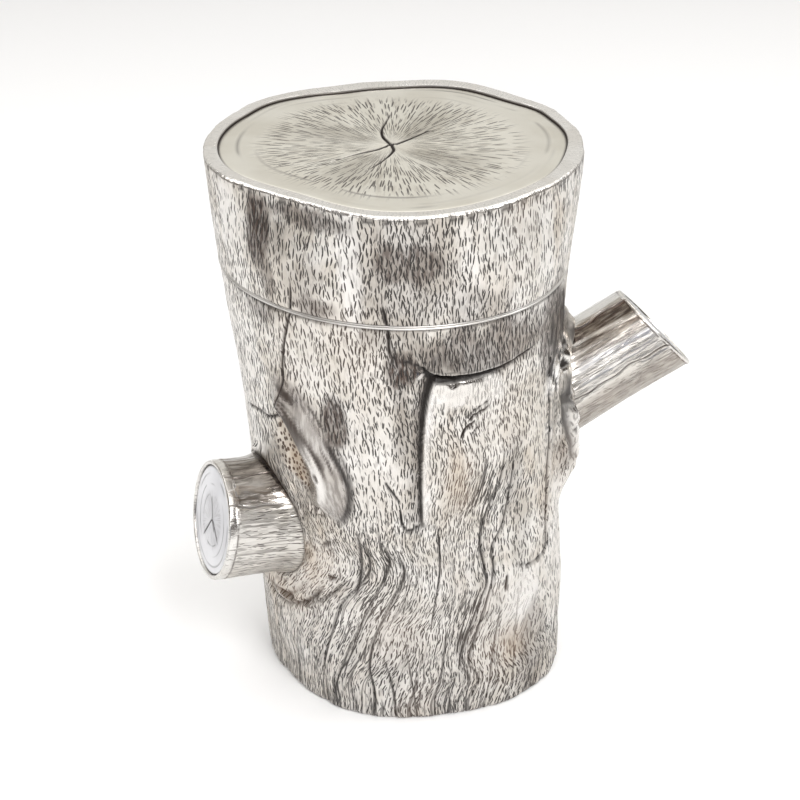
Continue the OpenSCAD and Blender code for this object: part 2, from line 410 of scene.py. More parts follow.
class Chaser:
    """Works out the bark at any place on the trunk."""

    bends = (
        Bend(-112, 34, ((-2, -19), (5, -18), (14, -15), (24, -9), (31, -4), (40, 3), (47, 0), (60, 0))),
        Bend(-60, 26, ((-2, -10), (3, -9.5), (9, -8), (14, -9.5), (20, -8.5), (30, -5), (34, -3), (39, -4),
                       (46, -5), (53, -3), (60, 1), (66, 3), (75, 0))))

    # Tarnish mixed with painted dark reflections, laid on the shade mask.
    # Soft patches: direction, height, half width in degrees, half height and strength.
    tarnish_and_painted_reflections = (
        (-138.5, 112, 4.6, 8.5, 1.0), (-135, 103, 3.2, 4, 0.7), (-120, 117, 15, 2.2, 0.8),
        (-129, 112, 3, 7, 0.3), (-86, 110.5, 12.5, 5.0, 0.9), (-87, 108, 15, 16, 0.42),
        (-66, 100, 12, 4, 0.4), (-140, 95, 7, 3.5, 0.7), (-117, 99.5, 8, 2.6, 0.7),
        (-120, 104, 9, 5, 0.3), (-62, 91, 26, 6.0, 0.78), (-27, 88, 5.5, 12, 0.9),
        (-89, 87.5, 6.0, 4.5, 1.0), (-90, 76, 3.2, 12, 0.5), (-96, 95, 8, 4, 0.4), (-34, 88, 6, 10, 0.8),
        (-38, 14, 9, 13, 0.4), (-50, 60, 5, 10, 0.3), (-46, 45, 4, 14, 0.25), (70, 105, 10, 7, 0.7),
        (150, 92, 9, 10, 0.7), (110, 30, 14, 14, 0.4), (40, 22, 12, 14, 0.4), (100, 100, 14, 5, 0.5))
    # Painted highlights, laid on the glow mask as pale patches, with the same columns as above.
    lights = (
        (-104.5, 108, 3.6, 16, 1.0), (-152, 106, 8, 18, 0.8), (-162, 84, 15, 24, 0.8),
        (-54, 107, 22, 12, 0.45), (-38, 106, 5, 14, 0.8), (-102, 64, 12, 20, 0.6), (-121, 90, 7, 12, 0.4),
        (-62, 72, 10, 14, 0.4), (-44, 27, 10, 9, 0.7), (-140, 14, 16, 10, 0.5), (-96, 30, 14, 16, 0.4),
        (-20, 30, 14, 26, 0.6), (60, 112, 12, 12, 0.8), (125, 104, 8, 14, 0.8), (80, 50, 18, 20, 0.5),
        (160, 24, 18, 16, 0.6), (-96, 20, 60, 24, 0.6), (-27, 79, 7, 5, 1.0), (-118, 36, 14, 10, 0.4))

    # Places that the torn bark and the left knot shape one by one.
    flap_corner = Spot(-73.5, 82.6, 4.2, 4.2)
    flap_smooth = Spot(-64, 81.5, 6.5, 3.6)
    flap_glint = Spot(-84, 86.4, 1.1, 1.3)
    calm = Spot(-44, 27, 10 * ARC, 9, 0.75)
    warm_spots = (Spot(-71, 61, 3.6, 7.5, 0.9), Spot(-52, 15, 8, 8, 0.9), Spot(-96, 24, 9, 9, 0.5))
    knot_dent = Spot(-113.3, 74, 2.9, 6.2)
    knot_curl = Spot(-122.5, 51.5, 1, 1)

    ridge = Cut(((-141, 75), (-136.5, 75), (-132, 73.5), (-127.5, 70), (-123, 65), (-120, 60.5), (-120, 56),
                 (-123.5, 52.5)))
    left_crack = Cut(((-125, 104), (-126, 98), (-128.5, 93), (-132, 85), (-133, 79), (-137, 72), (-145, 69),
                      (-153, 68.5), (-168, 66)), width=0.24, depth=0.4, lip=0.14)
    middle_crack = Cut(((-95, 102), (-93.5, 96), (-93, 91), (-87, 89.3), (-80, 87.2)),
                       width=0.24, depth=0.4)
    flap_top = Cut(((-83, 88), (-80, 87.0), (-74.5, 86.4), (-68, 86.2), (-59, 86.4), (-51.5, 86.8),
                    (-44, 87.6)))
    flap_left = Cut(((-80, 86.8), (-82.5, 81), (-84.3, 72), (-85, 62.5), (-85, 52), (-84, 50.5)))
    flap_right = Cut(((-33, 89), (-32.3, 77), (-31, 64), (-33, 55), (-31.5, 40), (-32, 36.5), (-36, 35),
                      (-42, 35), (-49, 37)), width=0.2, depth=0.35)
    hook = Cut(((-92, 55), (-91.5, 51.5), (-89, 50), (-85, 51.2), (-79.3, 51)), width=0.22, depth=0.4)
    hook_crack = Cut(((-79.2, 51), (-78.4, 41), (-79.7, 33.5), (-82, 25)), width=0.15, depth=0.25)
    nick = Cut(((-97, 62), (-94.6, 59.6), (-92, 57)), width=0.2, depth=0.3)
    s_flow = Cut(((-54, 66), (-56, 59), (-60.8, 52.7), (-63.4, 46), (-61.6, 39), (-60.3, 34), (-63, 30),
                  (-68.7, 20), (-70.7, 14), (-66.5, 9), (-72.5, 2.5), (-73, -2)),
                 width=0.26, depth=0.42, lip=0.14, stain=0.95)
    s_flow_twin = Cut(((-50, 66), (-51, 58), (-54, 49), (-58.5, 43), (-57.5, 37), (-60, 30), (-65, 20),
                       (-67, 14), (-63, 9), (-67.5, 3), (-68, -2)),
                      width=0.24, depth=0.36, lip=0.12, stain=0.85)
    left_flow = Cut(((-106, 47), (-104, 40), (-110, 34), (-116, 29.5), (-121, 22), (-125.5, 15), (-129, 8)),
                    width=0.24, depth=0.4, lip=0.14, stain=0.9)
    left_flow_twin = Cut(((-100, 47.5), (-96.8, 41.5), (-103.5, 32), (-109, 25), (-117, 14.5), (-123, 5),
                          (-124, -2)), width=0.24, depth=0.36, lip=0.12, stain=0.85)
    left_flow_third = Cut(((-94.5, 45), (-91.5, 39), (-98, 30), (-104, 21.5), (-107, 13), (-105.5, 7),
                           (-106, -2)), width=0.26, depth=0.4, lip=0.12, stain=0.9)
    fans = (Cut(((-101, 16), (-98, 8), (-97, -2)), width=0.22, depth=0.32, stain=0.85),
            Cut(((-92, 19), (-90, 9), (-88, -2)), width=0.18, depth=0.26, stain=0.7),
            Cut(((-76, 24), (-78, 13), (-81, 5), (-81, -2)), width=0.2, depth=0.28, stain=0.75),
            Cut(((-54, 27), (-57, 16), (-58, 7), (-61, -2)), width=0.2, depth=0.3, stain=0.75),
            Cut(((-46, 30), (-47, 18), (-48, 6), (-50, -2)), width=0.16, depth=0.24, stain=0.5))
    chips = (Cut(((-61.5, 77.6), (-66.5, 76.6), (-68.5, 75.2)), width=0.2, depth=0.4, stain=2.2),
             Cut(((-61.3, 79.0), (-64.5, 78.4), (-67.5, 77.3), (-69.3, 76.0)),
                 width=0.12, depth=0.3, stain=1.8),
             Cut(((-66.5, 75), (-69.5, 73.6), (-71, 71.6)), width=0.2, depth=0.4, stain=2.2),
             Cut(((-65.5, 73.6), (-67.5, 71.8)), width=0.14, depth=0.3, stain=1.8),
             Cut(((-51.7, 35), (-52.4, 31)), width=0.3, depth=0.3),
             Cut(((-119, 44.5), (-122, 43.6)), width=0.5, depth=0.4, stain=0.8),
             Cut(((-117.5, 36), (-121, 35.4)), width=0.5, depth=0.4),
             Cut(((-166, 23), (-148, 24.7), (-135, 25.5), (-123.6, 29.4), (-112.5, 36.2)),
                 width=0.3, depth=0.6, lip=0.3, stain=0.8))
    back_cracks = (Cut(((118, 110), (121, 98), (117, 88), (122, 74), (119, 62)), width=0.24, depth=0.35),
                   Cut(((60, 92), (57, 80), (61, 66), (58, 54), (63, 44)), width=0.24, depth=0.35),
                   Cut(((150, 60), (146, 50), (149, 38), (143, 26), (145, 12)), width=0.3, depth=0.4),
                   Cut(((88, 66), (84, 52), (90, 38), (86, 24), (92, 10), (90, -2)), width=0.34, depth=0.45),
                   Cut(((94, 62), (90, 50), (96, 37), (92, 24), (98, 11), (97, -2)), width=0.28, depth=0.35),
                   Cut(((38, 36), (42, 26), (37, 15), (40, 4), (40, -2)), width=0.3, depth=0.4),
                   Cut(((12, 44), (15, 32), (10, 20), (13, 8), (12, -2)), width=0.26, depth=0.35))
    back_flap = Cut(((128, 84), (112, 86), (100, 85), (92, 82), (88, 74), (87, 64), (90, 54)))

    def __init__(self) -> None:
        """Gathers every plain cut."""
        self.cuts: tuple[Cut, ...] = (
            self.left_crack, self.middle_crack, self.flap_right, self.hook, self.hook_crack, self.nick,
            self.s_flow, self.s_flow_twin, self.left_flow, self.left_flow_twin, self.left_flow_third,
            *self.fans, *self.chips, *self.back_cracks)

    @staticmethod
    def grain_of(angle: np.ndarray, z: np.ndarray) -> np.ndarray:
        """Across-grain and along-grain coordinates in millimetres.

        Each branch parts the grain as a post parts a stream: with d = (x, z) from the branch and a its
        radius, across = x (1 - a^2 / d^2) and along = z (1 + a^2 / d^2). The bends and slow waves are added.

        Args:
            angle: Directions.
            z: Heights.

        Returns:
            The two coordinates, in a last axis.
        """
        x = (angle - BACK - 180.0) * ARC
        low = ramp(z, 62, 22)
        across = x + low * (0.5 * np.sin(z / 3.1 + x / 11) + 0.25 * np.sin(z / 1.7 - x / 5))
        along = z + 0.0 * x
        for bend in Chaser.bends:
            across = across - bend.shift(angle, z)
        for knot, share in ((LEFT, 0.95), (RIGHT, 0.85)):
            dx = wrapped(angle - knot.angle) * ARC
            dz = z - knot.z
            a2 = (share * knot.radius) ** 2
            d2 = np.maximum(dx**2 + dz**2, 0.9 * a2)
            fade = ramp(np.abs(wrapped(angle - knot.angle)), 100, 55)
            across = across - fade * a2 * dx / d2
            along = along + fade * a2 * dz / d2
        return np.stack([across, along], -1)

    def at(self, angle: np.ndarray, z: np.ndarray) -> Bark:
        """The bark over a whole grid of places.

        Args:
            angle: Directions, one per grid place.
            z: Heights, one per grid place.

        Returns:
            The finished relief and masks.
        """
        grain = self.grain_of(angle, z)
        u, v = grain[..., 0], grain[..., 1]

        def waves(across: float, along: float, seed: float) -> np.ndarray:
            """Value noise with cells of that size over the grain, closed round the trunk."""
            cells = round(ROUND / across)
            return noise((u / ROUND + 0.5) * cells, v / along, seed, cells)

        relief = 0.30 * waves(9, 26, 1) + 0.13 * waves(3.4, 11, 2) + 0.07 * waves(1.5, 4.5, 3)
        relief += 0.035 * waves(0.75, 2.2, 4)
        low = ramp(z, 60, 20)
        furrow = 1 - np.abs(waves(2.6, 17, 5))
        relief -= 0.30 * low * furrow**3
        warmth = 0.35 * ramp(waves(17, 24, 6), 0.1, 0.8)
        coat = Layers(relief, 0.22 * low * furrow**8, np.zeros_like(z), np.zeros_like(z), warmth)
        for cut in self.cuts:
            valley, stain = cut.carve(angle, z)
            coat.relief += valley
            coat.blacken(stain)
        coat.relief -= 0.8 * hump(wrapped(angle - 2) / 46) * hump((z - 43) / 24)
        self._flap(angle, z, coat)
        self._back_flap(angle, z, coat)
        self._left_knot(angle, z, coat)
        self._right_knot(angle, z, coat)
        pressed = -DEEP - DEEP * np.tanh((-DEEP - coat.relief) / DEEP)
        relief = np.where(coat.relief < -DEEP, pressed, coat.relief)
        # Painted dark reflections mixed with tarnish, and painted highlights.
        coat.tarnish_and_painted_shade(self._patches(self.tarnish_and_painted_reflections, angle, z, waves))
        glow = self._patches(self.lights, angle, z, waves)
        front = u * ramp(np.abs(u), 90, 70)
        flow = np.maximum(bell(front + 9.5, 8.5) * ramp(z, 56, 44), bell(front - 17.5, 6) * ramp(z, 72, 60))
        flow = np.maximum(flow, 0.75 * ramp(z, 26, 8))
        flow = np.clip(flow * (1 - coat.polish), 0, 1)
        masks = [np.clip(mask, 0, 1) for mask in (coat.oxide, coat.polish, coat.shade, coat.warmth)]
        return Bark(relief, *masks, grain, flow, np.clip(glow, 0, 1), self._punched(angle, z))

    @staticmethod
    def _punched(angle: np.ndarray, z: np.ndarray) -> np.ndarray:
        """Where the ground is punched with dots: the hollow above the left branch."""
        d, side, share = Chaser.ridge.near(angle, z, 16)
        run = ramp(share, 0.05, 0.3) * ramp(share, 1.0, 0.9)
        return run * (side > 0) * (d < 900) * ramp(d, 1.8, 3.0) * ramp(d, 12.5, 9.5)

    @staticmethod
    def _patches(spots: Sequence[tuple[float, ...]], angle: np.ndarray, z: np.ndarray,
                 waves: Callable[..., np.ndarray]) -> np.ndarray:
        """Soft patches, each an ellipse with ragged edges.

        Args:
            spots: Direction, height, half width in degrees, half height and strength of each.
            angle: Directions.
            z: Heights.
            waves: Noise over the grain, which tears the edges.

        Returns:
            The strongest patch at each place.
        """
        total = np.zeros_like(z)
        ragged = 0.26 * waves(2.6, 6.5, 11) + 0.14 * waves(1.1, 2.4, 12)
        for a, h, wide, tall, strength in spots:
            d = np.hypot(wrapped(angle - a) / wide, (z - h) / tall) + ragged
            total = np.maximum(total, strength * ramp(d, 1.25, 0.55))
        return total

    def _flap(self, angle: np.ndarray, z: np.ndarray, coat: Layers) -> None:
        """The torn bark in front: a flap, proud along its left edge and tucked under at its top.

        Left of the left edge the bark dips towards a groove, and right of it the flap rises in a round
        shoulder that dies away to the right. Above the top edge a lip ends the bark over a gap of oxide and
        painted shadow.

        Args:
            angle: Directions.
            z: Heights.
            coat: The layers, changed in place.
        """
        d, side, share = self.flap_left.near(angle, z, 14)
        run = ramp(share, 1.0, 0.72) * ramp(share, 0.0, 0.03)
        flap = (side < 0) & (d < 900)
        dip = (side > 0) & (d < 900)
        shoulder = 1.15 * flap * ramp(d, 0.0, 0.7) * np.exp(-np.minimum(d, 60) / 6.0)
        coat.relief += run * (shoulder - dip * bell(d, 3.0))
        seam = 0.30 + 0.55 * ramp(z, 60, 86)
        black = np.where(dip, 0.96 * ramp(d, 1.3 * seam, 0.5 * seam), ramp(d, 0.6, 0.25))
        coat.blacken(run * black)
        # Painted shade on the slope left of the edge.
        coat.tarnish_and_painted_shade(0.85 * run * dip * ramp(d, 3.6, 0.5) * (0.55 + 0.45 * ramp(z, 52, 80)))
        coat.rub(0.85 * run * flap * bell(d - 0.9, 1.0))

        d, side, share = self.flap_top.near(angle, z, 12)
        wide = ramp(share, 0.0, 0.12) * (1 - 0.8 * np.clip(share, 0, 1) ** 2)
        above = (side < 0) & (d < 900)
        below = (side > 0) & (d < 900)
        coat.relief += wide * 1.25 * above * ramp(d, 7.0, 0.0) * ramp(d, -0.1, 0.35)
        gap = 0.15 + 1.75 * wide
        coat.relief -= below * wide * 1.1 * bell(d, 1.3)
        # Oxide in the gap under the lip, with painted shadow.
        coat.blacken(np.where(below, ramp(d, 1.15 * gap, 0.8 * gap), bell(d, 0.2)) * (wide > 0))
        # Painted shade on the bark above the lip.
        coat.tarnish_and_painted_shade(0.45 * wide * above * ramp(d, 6.5, 0.5))
        coat.rub(0.7 * wide * above * bell(d - 0.3, 0.3) * ramp(share, 0.02, 0.12))
        coat.blacken(0.7 * wide * above * bell(d - 0.85, 0.2))
        ragged = noise(angle * ARC / 1.6, z / 1.6, 27)
        corner = self.flap_corner.glow(angle, z) * (1 + 0.35 * ragged)
        coat.relief += (0.6 + 0.12 * ragged) * corner
        coat.rub(0.9 * ramp(corner, 0.25, 0.6))
        coat.rub(0.5 * ramp(self.flap_smooth.glow(angle, z) + 0.12 * ragged, 0.3, 0.6))
        glint = self.flap_glint.glow(angle, z)
        ribs = np.sin((angle * ARC - z) * 5.0)
        coat.relief += 0.3 * glint * ribs
        coat.oxide *= 1 - 0.9 * ramp(glint, 0.45, 0.7) * ramp(ribs, -0.2, 0.3)
        coat.rub(ramp(glint, 0.3, 0.6))

        d, side, share = self.flap_right.near(angle, z, 9)
        run = ramp(share, 0.0, 0.1) * ramp(share, 1.0, 0.9)
        coat.relief += 0.4 * run * (side < 0) * (d < 900) * ramp(d, 0.1, 0.5) * np.exp(-d / 5.0)
        for spot in self.warm_spots:
            coat.warm(spot.glow(angle, z))
        coat.rub(self.calm.glow(angle, z))

    def _back_flap(self, angle: np.ndarray, z: np.ndarray, coat: Layers) -> None:
        """A second tear at the back: a step along one curve, high on its upper side.

        Args:
            angle: Directions.
            z: Heights.
            coat: The layers, changed in place.
        """
        d, side, share = self.back_flap.near(angle, z, 10)
        run = ramp(share, 0.0, 0.2) * ramp(share, 1.0, 0.75)
        high = (side < 0) & (d < 900)
        coat.relief += run * (0.85 * high * ramp(d, 0.0, 0.4) * np.exp(-d / 5) - 0.5 * bell(d, 0.4))
        coat.blacken(run * np.maximum(bell(d, 0.4), 0.4 * (side > 0) * bell(d, 1.2)))
        coat.rub(0.6 * run * high * bell(d - 0.8, 1.0))

    @staticmethod
    def _left_knot(angle: np.ndarray, z: np.ndarray, coat: Layers) -> None:
        """Swollen bark round the left branch.

        Up and to the right of the branch a hollow and then a bright ridge curve round it, with a dark
        streaked slope beyond, tarnish with painted dark reflection. Below and to the right lie lumpy
        ring-shaped wrinkles.

        Args:
            angle: Directions.
            z: Heights.
            coat: The layers, changed in place.
        """
        rho, turn = LEFT.polar(angle, z)
        root = LEFT.radius + 0.6
        upper = ramp(turn, 12, 34) * ramp(turn, 118, 84)
        d, side, share = Chaser.ridge.near(angle, z, 16)
        run = ramp(share, 0.0, 0.22) * ramp(share, 1.0, 0.86)
        beyond = (side < 0) & (d < 900)
        within = (side > 0) & (d < 900)
        crest = run * np.where(beyond, bell(d, 4.4), bell(d, 2.5))
        coat.relief *= 1 - 0.75 * crest
        coat.relief += 2.1 * crest - 1.1 * run * within * bell(d - 5.4, 2.6)
        streak = 0.5 + 0.5 * noise(d / 0.62, share * 5 + 0 * d, 22)
        coat.relief += 0.28 * run * (streak - 0.5) * bell(d - 2.5, 4.5)
        coat.rub(run * np.where(beyond, ramp(d, 7, 4), ramp(d, 3.2, 1.8)))
        band = run * np.where(beyond, ramp(d, 8.0, 5.5), ramp(d, 1.6, 0.6))
        white = bell((share - 0.72) / 0.2, 1.0) * (1 - beyond * ramp(d, 0.8, 2.0))
        # Tarnish with painted dark reflection along the ridge's band.
        coat.tarnish_and_painted_shade(band * (0.6 + 0.4 * streak) * (1 - white))
        coat.blacken(0.9 * band * (1 - white) * ramp(streak, 0.60, 0.80))
        crumple = noise(d / 1.0, share * 16 + 0 * d, 36)
        flare = run * white * bell(d - 1.0, 2.6)
        coat.relief += 0.4 * flare * crumple
        coat.blacken(0.85 * ramp(flare, 0.2, 0.5) * ramp(-crumple, 0.2, 0.45))
        # Painted dark patch over the dent.
        dent = Chaser.knot_dent.glow(angle, z)
        coat.relief -= 0.5 * dent
        coat.tarnish_and_painted_shade(0.95 * ramp(dent, 0.2, 0.6))
        coat.warm(run * within * bell(d - 6, 3.4))
        coat.tarnish_and_painted_shade(0.55 * run * within * ramp(d, 5.5, 2.0))
        curl = Chaser.knot_curl.distance(angle, z)
        coat.relief += 0.6 * bell(curl, 1.8) * np.cos(curl * 2.6)
        coat.blacken(0.8 * bell(curl, 3.0) * ramp(np.cos(curl * 2.6), -0.6, -0.95))

        lower = ramp(turn, 14, -8) * ramp(turn, -178, -150)
        strength = 0.6 + 0.4 * noise(turn / 15, rho / 4, 24)
        rings = np.sin(rho * 2.05 + 1.6 * noise(turn / 24, rho / 6, 23)) * strength
        belt = ramp(rho, root, root + 1.5) * ramp(rho, 27, 20)
        coat.relief += lower * belt * (0.36 * rings + 0.55 * bell(rho - 16.5, 3.0))
        coat.blacken(0.8 * lower * belt * ramp(-rings, 0.55, 0.95))
        arc = bell(rho - 20.6, 0.35) * ramp(turn, -25, -40) * ramp(turn, -128, -108)
        second = bell(rho - 27.8, 0.35) * ramp(turn, 14, 6) * ramp(turn, -26, -18)
        coat.relief -= 0.5 * (arc + second)
        coat.blacken(np.maximum(arc, second))

        coat.warm(0.8 * lower * bell(rho - 17, 6.0))
        around = bell(rho - root, 0.5)
        coat.blacken(0.95 * around)
        coat.relief += 0.35 * bell(rho - root - 1.4, 1.0) - 0.5 * around
        # Painted shade above the branch where it meets the trunk.
        coat.tarnish_and_painted_shade(0.7 * upper * bell(rho - root - 0.4, 1.5))

    @staticmethod
    def _right_knot(angle: np.ndarray, z: np.ndarray, coat: Layers) -> None:
        """Curled bark round the right branch: a thick lip against it, in folds, over a long slope.

        Towards the front the slope is streaked above with tarnish and painted dark reflection, bright and
        crumpled in the middle, and pitted below, with a row of short ticks.

        Args:
            angle: Directions.
            z: Heights.
            coat: The layers, changed in place.
        """
        rho, turn = RIGHT.polar(angle, z)
        root = RIGHT.radius + 0.7
        below = ramp(turn, 20, -60) * ramp(turn, -200, -120)
        skirt = 20 + 5 * below
        fold = noise((turn + 180) / 24, rho / 7, 31, 15)
        small = noise((turn + 180) / 9, rho / 2.0, 32, 40)
        lip = 2.0 + 1.1 * fold + 1.7 * bell(wrapped(turn + 140) / 38, 1.0)
        coat.relief *= 1 - 0.6 * bell(rho - root - 2, 5)
        coat.relief += lip * ramp(rho, root - 1.2, root + 0.8) * ramp(rho, skirt, root + 2.6) ** 1.6
        coat.relief += 0.6 * small * bell(rho - root - 2.5, 3.0)
        coat.relief -= 0.9 * bell(rho - root - 4.6, 0.8) * ramp(fold, 0, 0.6)
        coat.blacken(0.95 * bell(rho - root + 0.3, 0.6))
        coat.blacken(0.95 * ramp(-small, 0.2, 0.45) * bell(rho - root - 3.0, 2.6))
        coat.blacken(0.85 * bell(rho - root - 4.6, 0.5) * ramp(fold, 0, 0.6))
        # Painted shade in the valleys beyond the lip's folds, with tarnish.
        coat.tarnish_and_painted_shade(0.55 * bell(rho - root - 6.5, 2.2) * ramp(fold, -0.2, 0.5))
        coat.rub(0.95 * bell(rho - root - 1.6, 2.6))

        x = wrapped(angle + 26) * ARC
        streak = noise(x / 0.75 + 0.3 * np.sin(z / 2.5), z / 8, 33)
        # Tarnish with painted dark reflection on the streaked slope.
        slope = hump((x - 1.5) / 9.0) * hump((z - 87) / 11)
        coat.tarnish_and_painted_shade(ramp(slope, 0.12, 0.4) * (0.85 + 0.15 * streak))
        coat.blacken(0.85 * ramp(slope, 0.15, 0.4) * ramp(streak, -0.15, 0.35))
        coat.relief += 0.22 * slope * streak
        bright = bell(np.hypot((x - 2.2) / 7.0, (z - 77.5 - 0.2 * x) / 5.0), 1.0)
        crumple = noise(x / 1.5, z / 1.9, 34) + 0.5 * noise(x / 0.8, z / 0.9, 35)
        coat.relief += 0.75 * bright * crumple
        coat.shade *= 1 - ramp(bright, 0.25, 0.6)
        coat.rub(ramp(bright, 0.2, 0.5))
        coat.oxide *= 1 - 0.7 * bright
        coat.blacken(ramp(bright, 0.2, 0.45) * ramp(-crumple, 0.12, 0.4))
        pit = bell(np.maximum(np.abs(x - 4.2) / 1.5, np.abs(z - 68.5) / 1.9), 1.0)
        coat.relief -= 0.9 * pit
        coat.blacken(0.85 * ramp(pit, 0.35, 0.75))
        ticks = (bell(x + 3.6, 0.8) + bell(x - 0.4, 0.7)) * ramp(z, 62, 65) * ramp(z, 77, 74)
        coat.blacken(0.85 * ticks * ramp(np.sin(z * 2 * math.pi / 1.5 + x), 0.1, 0.7))


# ---------------------------------------------------------------- meshes


class Detail(Enum):
    """How fine the grids are: columns round the trunk, a share for everything else."""

    TRIAL = 300
    FULL = 704

    def count(self, full: int) -> int:
        """A count scaled from the full grid's to this one's, and even."""
        return max(8, round(full * self.value / Detail.FULL.value / 2) * 2)


DETAIL = Detail.FULL


def surface(name: str, points: np.ndarray, material: bpy.types.Material, *, loop: bool = False,
            poles: bool = False, grain: np.ndarray | None = None,
            masks: dict[str, np.ndarray] | None = None, sharp: float = 50.0) -> bpy.types.Object:
    """Makes a mesh from rings of points.

    Args:
        name: The new object's name.
        points: Rings x columns x 3, in millimetres; each ring closes on itself and runs anticlockwise.
        material: Its finish.
        loop: Joins the last ring to the first, so the rings pass round a wall.
        poles: Closes the first and last rings with a fan of triangles.
        grain: Rings x (columns + 1) x 2 for the UV map, in millimetres; the last column ends the wrap.
        masks: Rings x columns values, stored as attributes.
        sharp: Edges that turn more than this many degrees stay crisp.

    Returns:
        The object, at the origin, unturned and unscaled.
    """
    rings, cols = points.shape[:2]
    vertices = points.reshape(-1, 3)
    j = np.arange(rings if loop else rings - 1)[:, None]
    i = np.arange(cols)[None, :]
    k, m = (j + 1) % rings, (i + 1) % cols
    quads = np.stack([j * cols + i, j * cols + m, k * cols + m, k * cols + i], -1).reshape(-1, 4)
    faces = quads.tolist()
    if poles:
        first, last = len(vertices), len(vertices) + 1
        vertices = np.vstack([vertices, points[0].mean(0), points[-1].mean(0)])
        ring, onward = i[0], m[0]
        top = (rings - 1) * cols
        faces += np.stack([onward, ring, np.full(cols, first)], -1).tolist()
        faces += np.stack([top + ring, top + onward, np.full(cols, last)], -1).tolist()
    mesh = bpy.data.meshes.new(name)
    mesh.from_pydata((vertices * MM).tolist(), [], faces)
    mesh.polygons.foreach_set("use_smooth", np.ones(len(mesh.polygons), bool))
    if grain is not None:
        wide = cols + 1
        here = np.stack([j * wide + i, j * wide + i + 1, k * wide + i + 1, k * wide + i], -1).reshape(-1)
        corners = np.zeros((len(mesh.loops), 2))
        corners[: len(here)] = grain.reshape(-1, 2)[here]
        if poles:
            for at, ring_no in ((len(here), 0), (len(here) + 3 * cols, rings - 1)):
                row = grain[ring_no]
                fan = np.stack([row[1:], row[:-1], 0.5 * (row[1:] + row[:-1])], 1)
                corners[at : at + 3 * cols] = fan.reshape(-1, 2)
        mesh.uv_layers.new(name="grain").data.foreach_set("uv", corners.ravel())
    for key, values in (masks or {}).items():
        flat = np.zeros(len(vertices))
        flat[: rings * cols] = values.reshape(-1)
        if poles:
            flat[-2], flat[-1] = values[0].mean(), values[-1].mean()
        mesh.attributes.new(key, "FLOAT", "POINT").data.foreach_set("value", flat)
    mesh.materials.append(material)
    mesh.update()
    mesh.set_sharp_from_angle(angle=math.radians(sharp))
    thing = bpy.data.objects.new(name, mesh)
    bpy.context.scene.collection.objects.link(thing)
    LOG.info("%s: %d triangles", name, sum(len(p) - 2 for p in faces))
    return thing


def crowded(density: np.ndarray, places: np.ndarray, count: int) -> np.ndarray:
    """Places crowded where the density is high: the running total of the density, read backwards."""
    total = np.concatenate([[0.0], np.cumsum(0.5 * (density[1:] + density[:-1]) * np.diff(places))])
    return np.interp(np.linspace(0, total[-1], count), total, places)


def crowded_angles(heights: np.ndarray, cuts: Sequence[Cut], count: int) -> np.ndarray:
    """Directions for each ring, crowded round the cuts that cross it.

    Args:
        heights: The rings' heights.
        cuts: Lines that want closer columns.
        count: Columns in a ring.

    Returns:
        Rings x (count + 1) directions; the first and last are the back seam, a whole turn apart.
    """
    fine = np.linspace(BACK, BACK + 360, 1441)
    facing = ramp(np.abs(wrapped(fine + 80)), 130, 95)
    knots = bell(wrapped(fine + 20), 18) + 0.5 * bell(wrapped(fine + 130), 30)
    density = np.tile(1.0 + 0.45 * facing + 0.8 * knots, (len(heights), 1))
    for cut in cuts:
        route = smooth_route(cut.route)
        order = np.argsort(route[:, 1])
        at = np.interp(heights, route[order, 1], route[order, 0])
        lowest, highest = route[:, 1].min(), route[:, 1].max()
        within = ramp(heights, lowest - 6, lowest) * ramp(heights, highest + 6, highest)
        density += cut.crowd * within[:, None] * bell(wrapped(fine[None] - at[:, None]) * ARC, 1.3)
    for _ in range(12):
        below, above = np.vstack([density[:1], density[:-1]]), np.vstack([density[1:], density[-1:]])
        density = (below + 2 * density + above) / 4
    return np.stack([crowded(row, fine, count + 1) for row in density])


# ---------------------------------------------------------------- shader maths

Color = tuple[float, float, float]


class Shade:
    """A socket that Python's operators work on, each adding a Math node."""

    def __init__(self, tree: bpy.types.NodeTree, socket: bpy.types.NodeSocket) -> None:
        """Wraps an output socket of the tree."""
        self.tree = tree
        self.socket = socket

    def beside(self, output: str | int) -> "Shade":
        """Another output of the same node."""
        return Shade(self.tree, self.socket.node.outputs[output])

    def _math(self, operation: str, *values: "Shade | float") -> "Shade":
        """One Math node on these values."""
        return node(self.tree, "ShaderNodeMath", {"operation": operation}, dict(enumerate(values)))

    def __add__(self, other: "Shade | float") -> "Shade":
        """self + other."""
        return self._math("ADD", self, other)

    __radd__ = __add__

    def __sub__(self, other: "Shade | float") -> "Shade":
        """self - other."""
        return self._math("SUBTRACT", self, other)

    def __rsub__(self, other: "Shade | float") -> "Shade":
        """other - self."""
        return self._math("SUBTRACT", other, self)

    def __mul__(self, other: "Shade | float") -> "Shade":
        """self * other."""
        return self._math("MULTIPLY", self, other)

    __rmul__ = __mul__

    def __pow__(self, other: "Shade | float") -> "Shade":
        """self ** other."""
        return self._math("POWER", self, other)

    def most(self, other: "Shade | float") -> "Shade":
        """The larger of the two."""
        return self._math("MAXIMUM", self, other)

    def size(self) -> "Shade":
        """self without its sign."""
        return self._math("ABSOLUTE", self)

    def sine(self) -> "Shade":
        """Sine of self, in radians."""
        return self._math("SINE", self)

    def cosine(self) -> "Shade":
        """Cosine of self, in radians."""
        return self._math("COSINE", self)

    def between(self, low: float, high: float) -> "Shade":
        """Smooth step from 0 at low to 1 at high; low may be the larger."""
        return node(self.tree, "ShaderNodeMapRange", {"interpolation_type": "SMOOTHSTEP"},
                    {"Value": self, "From Min": low, "From Max": high})


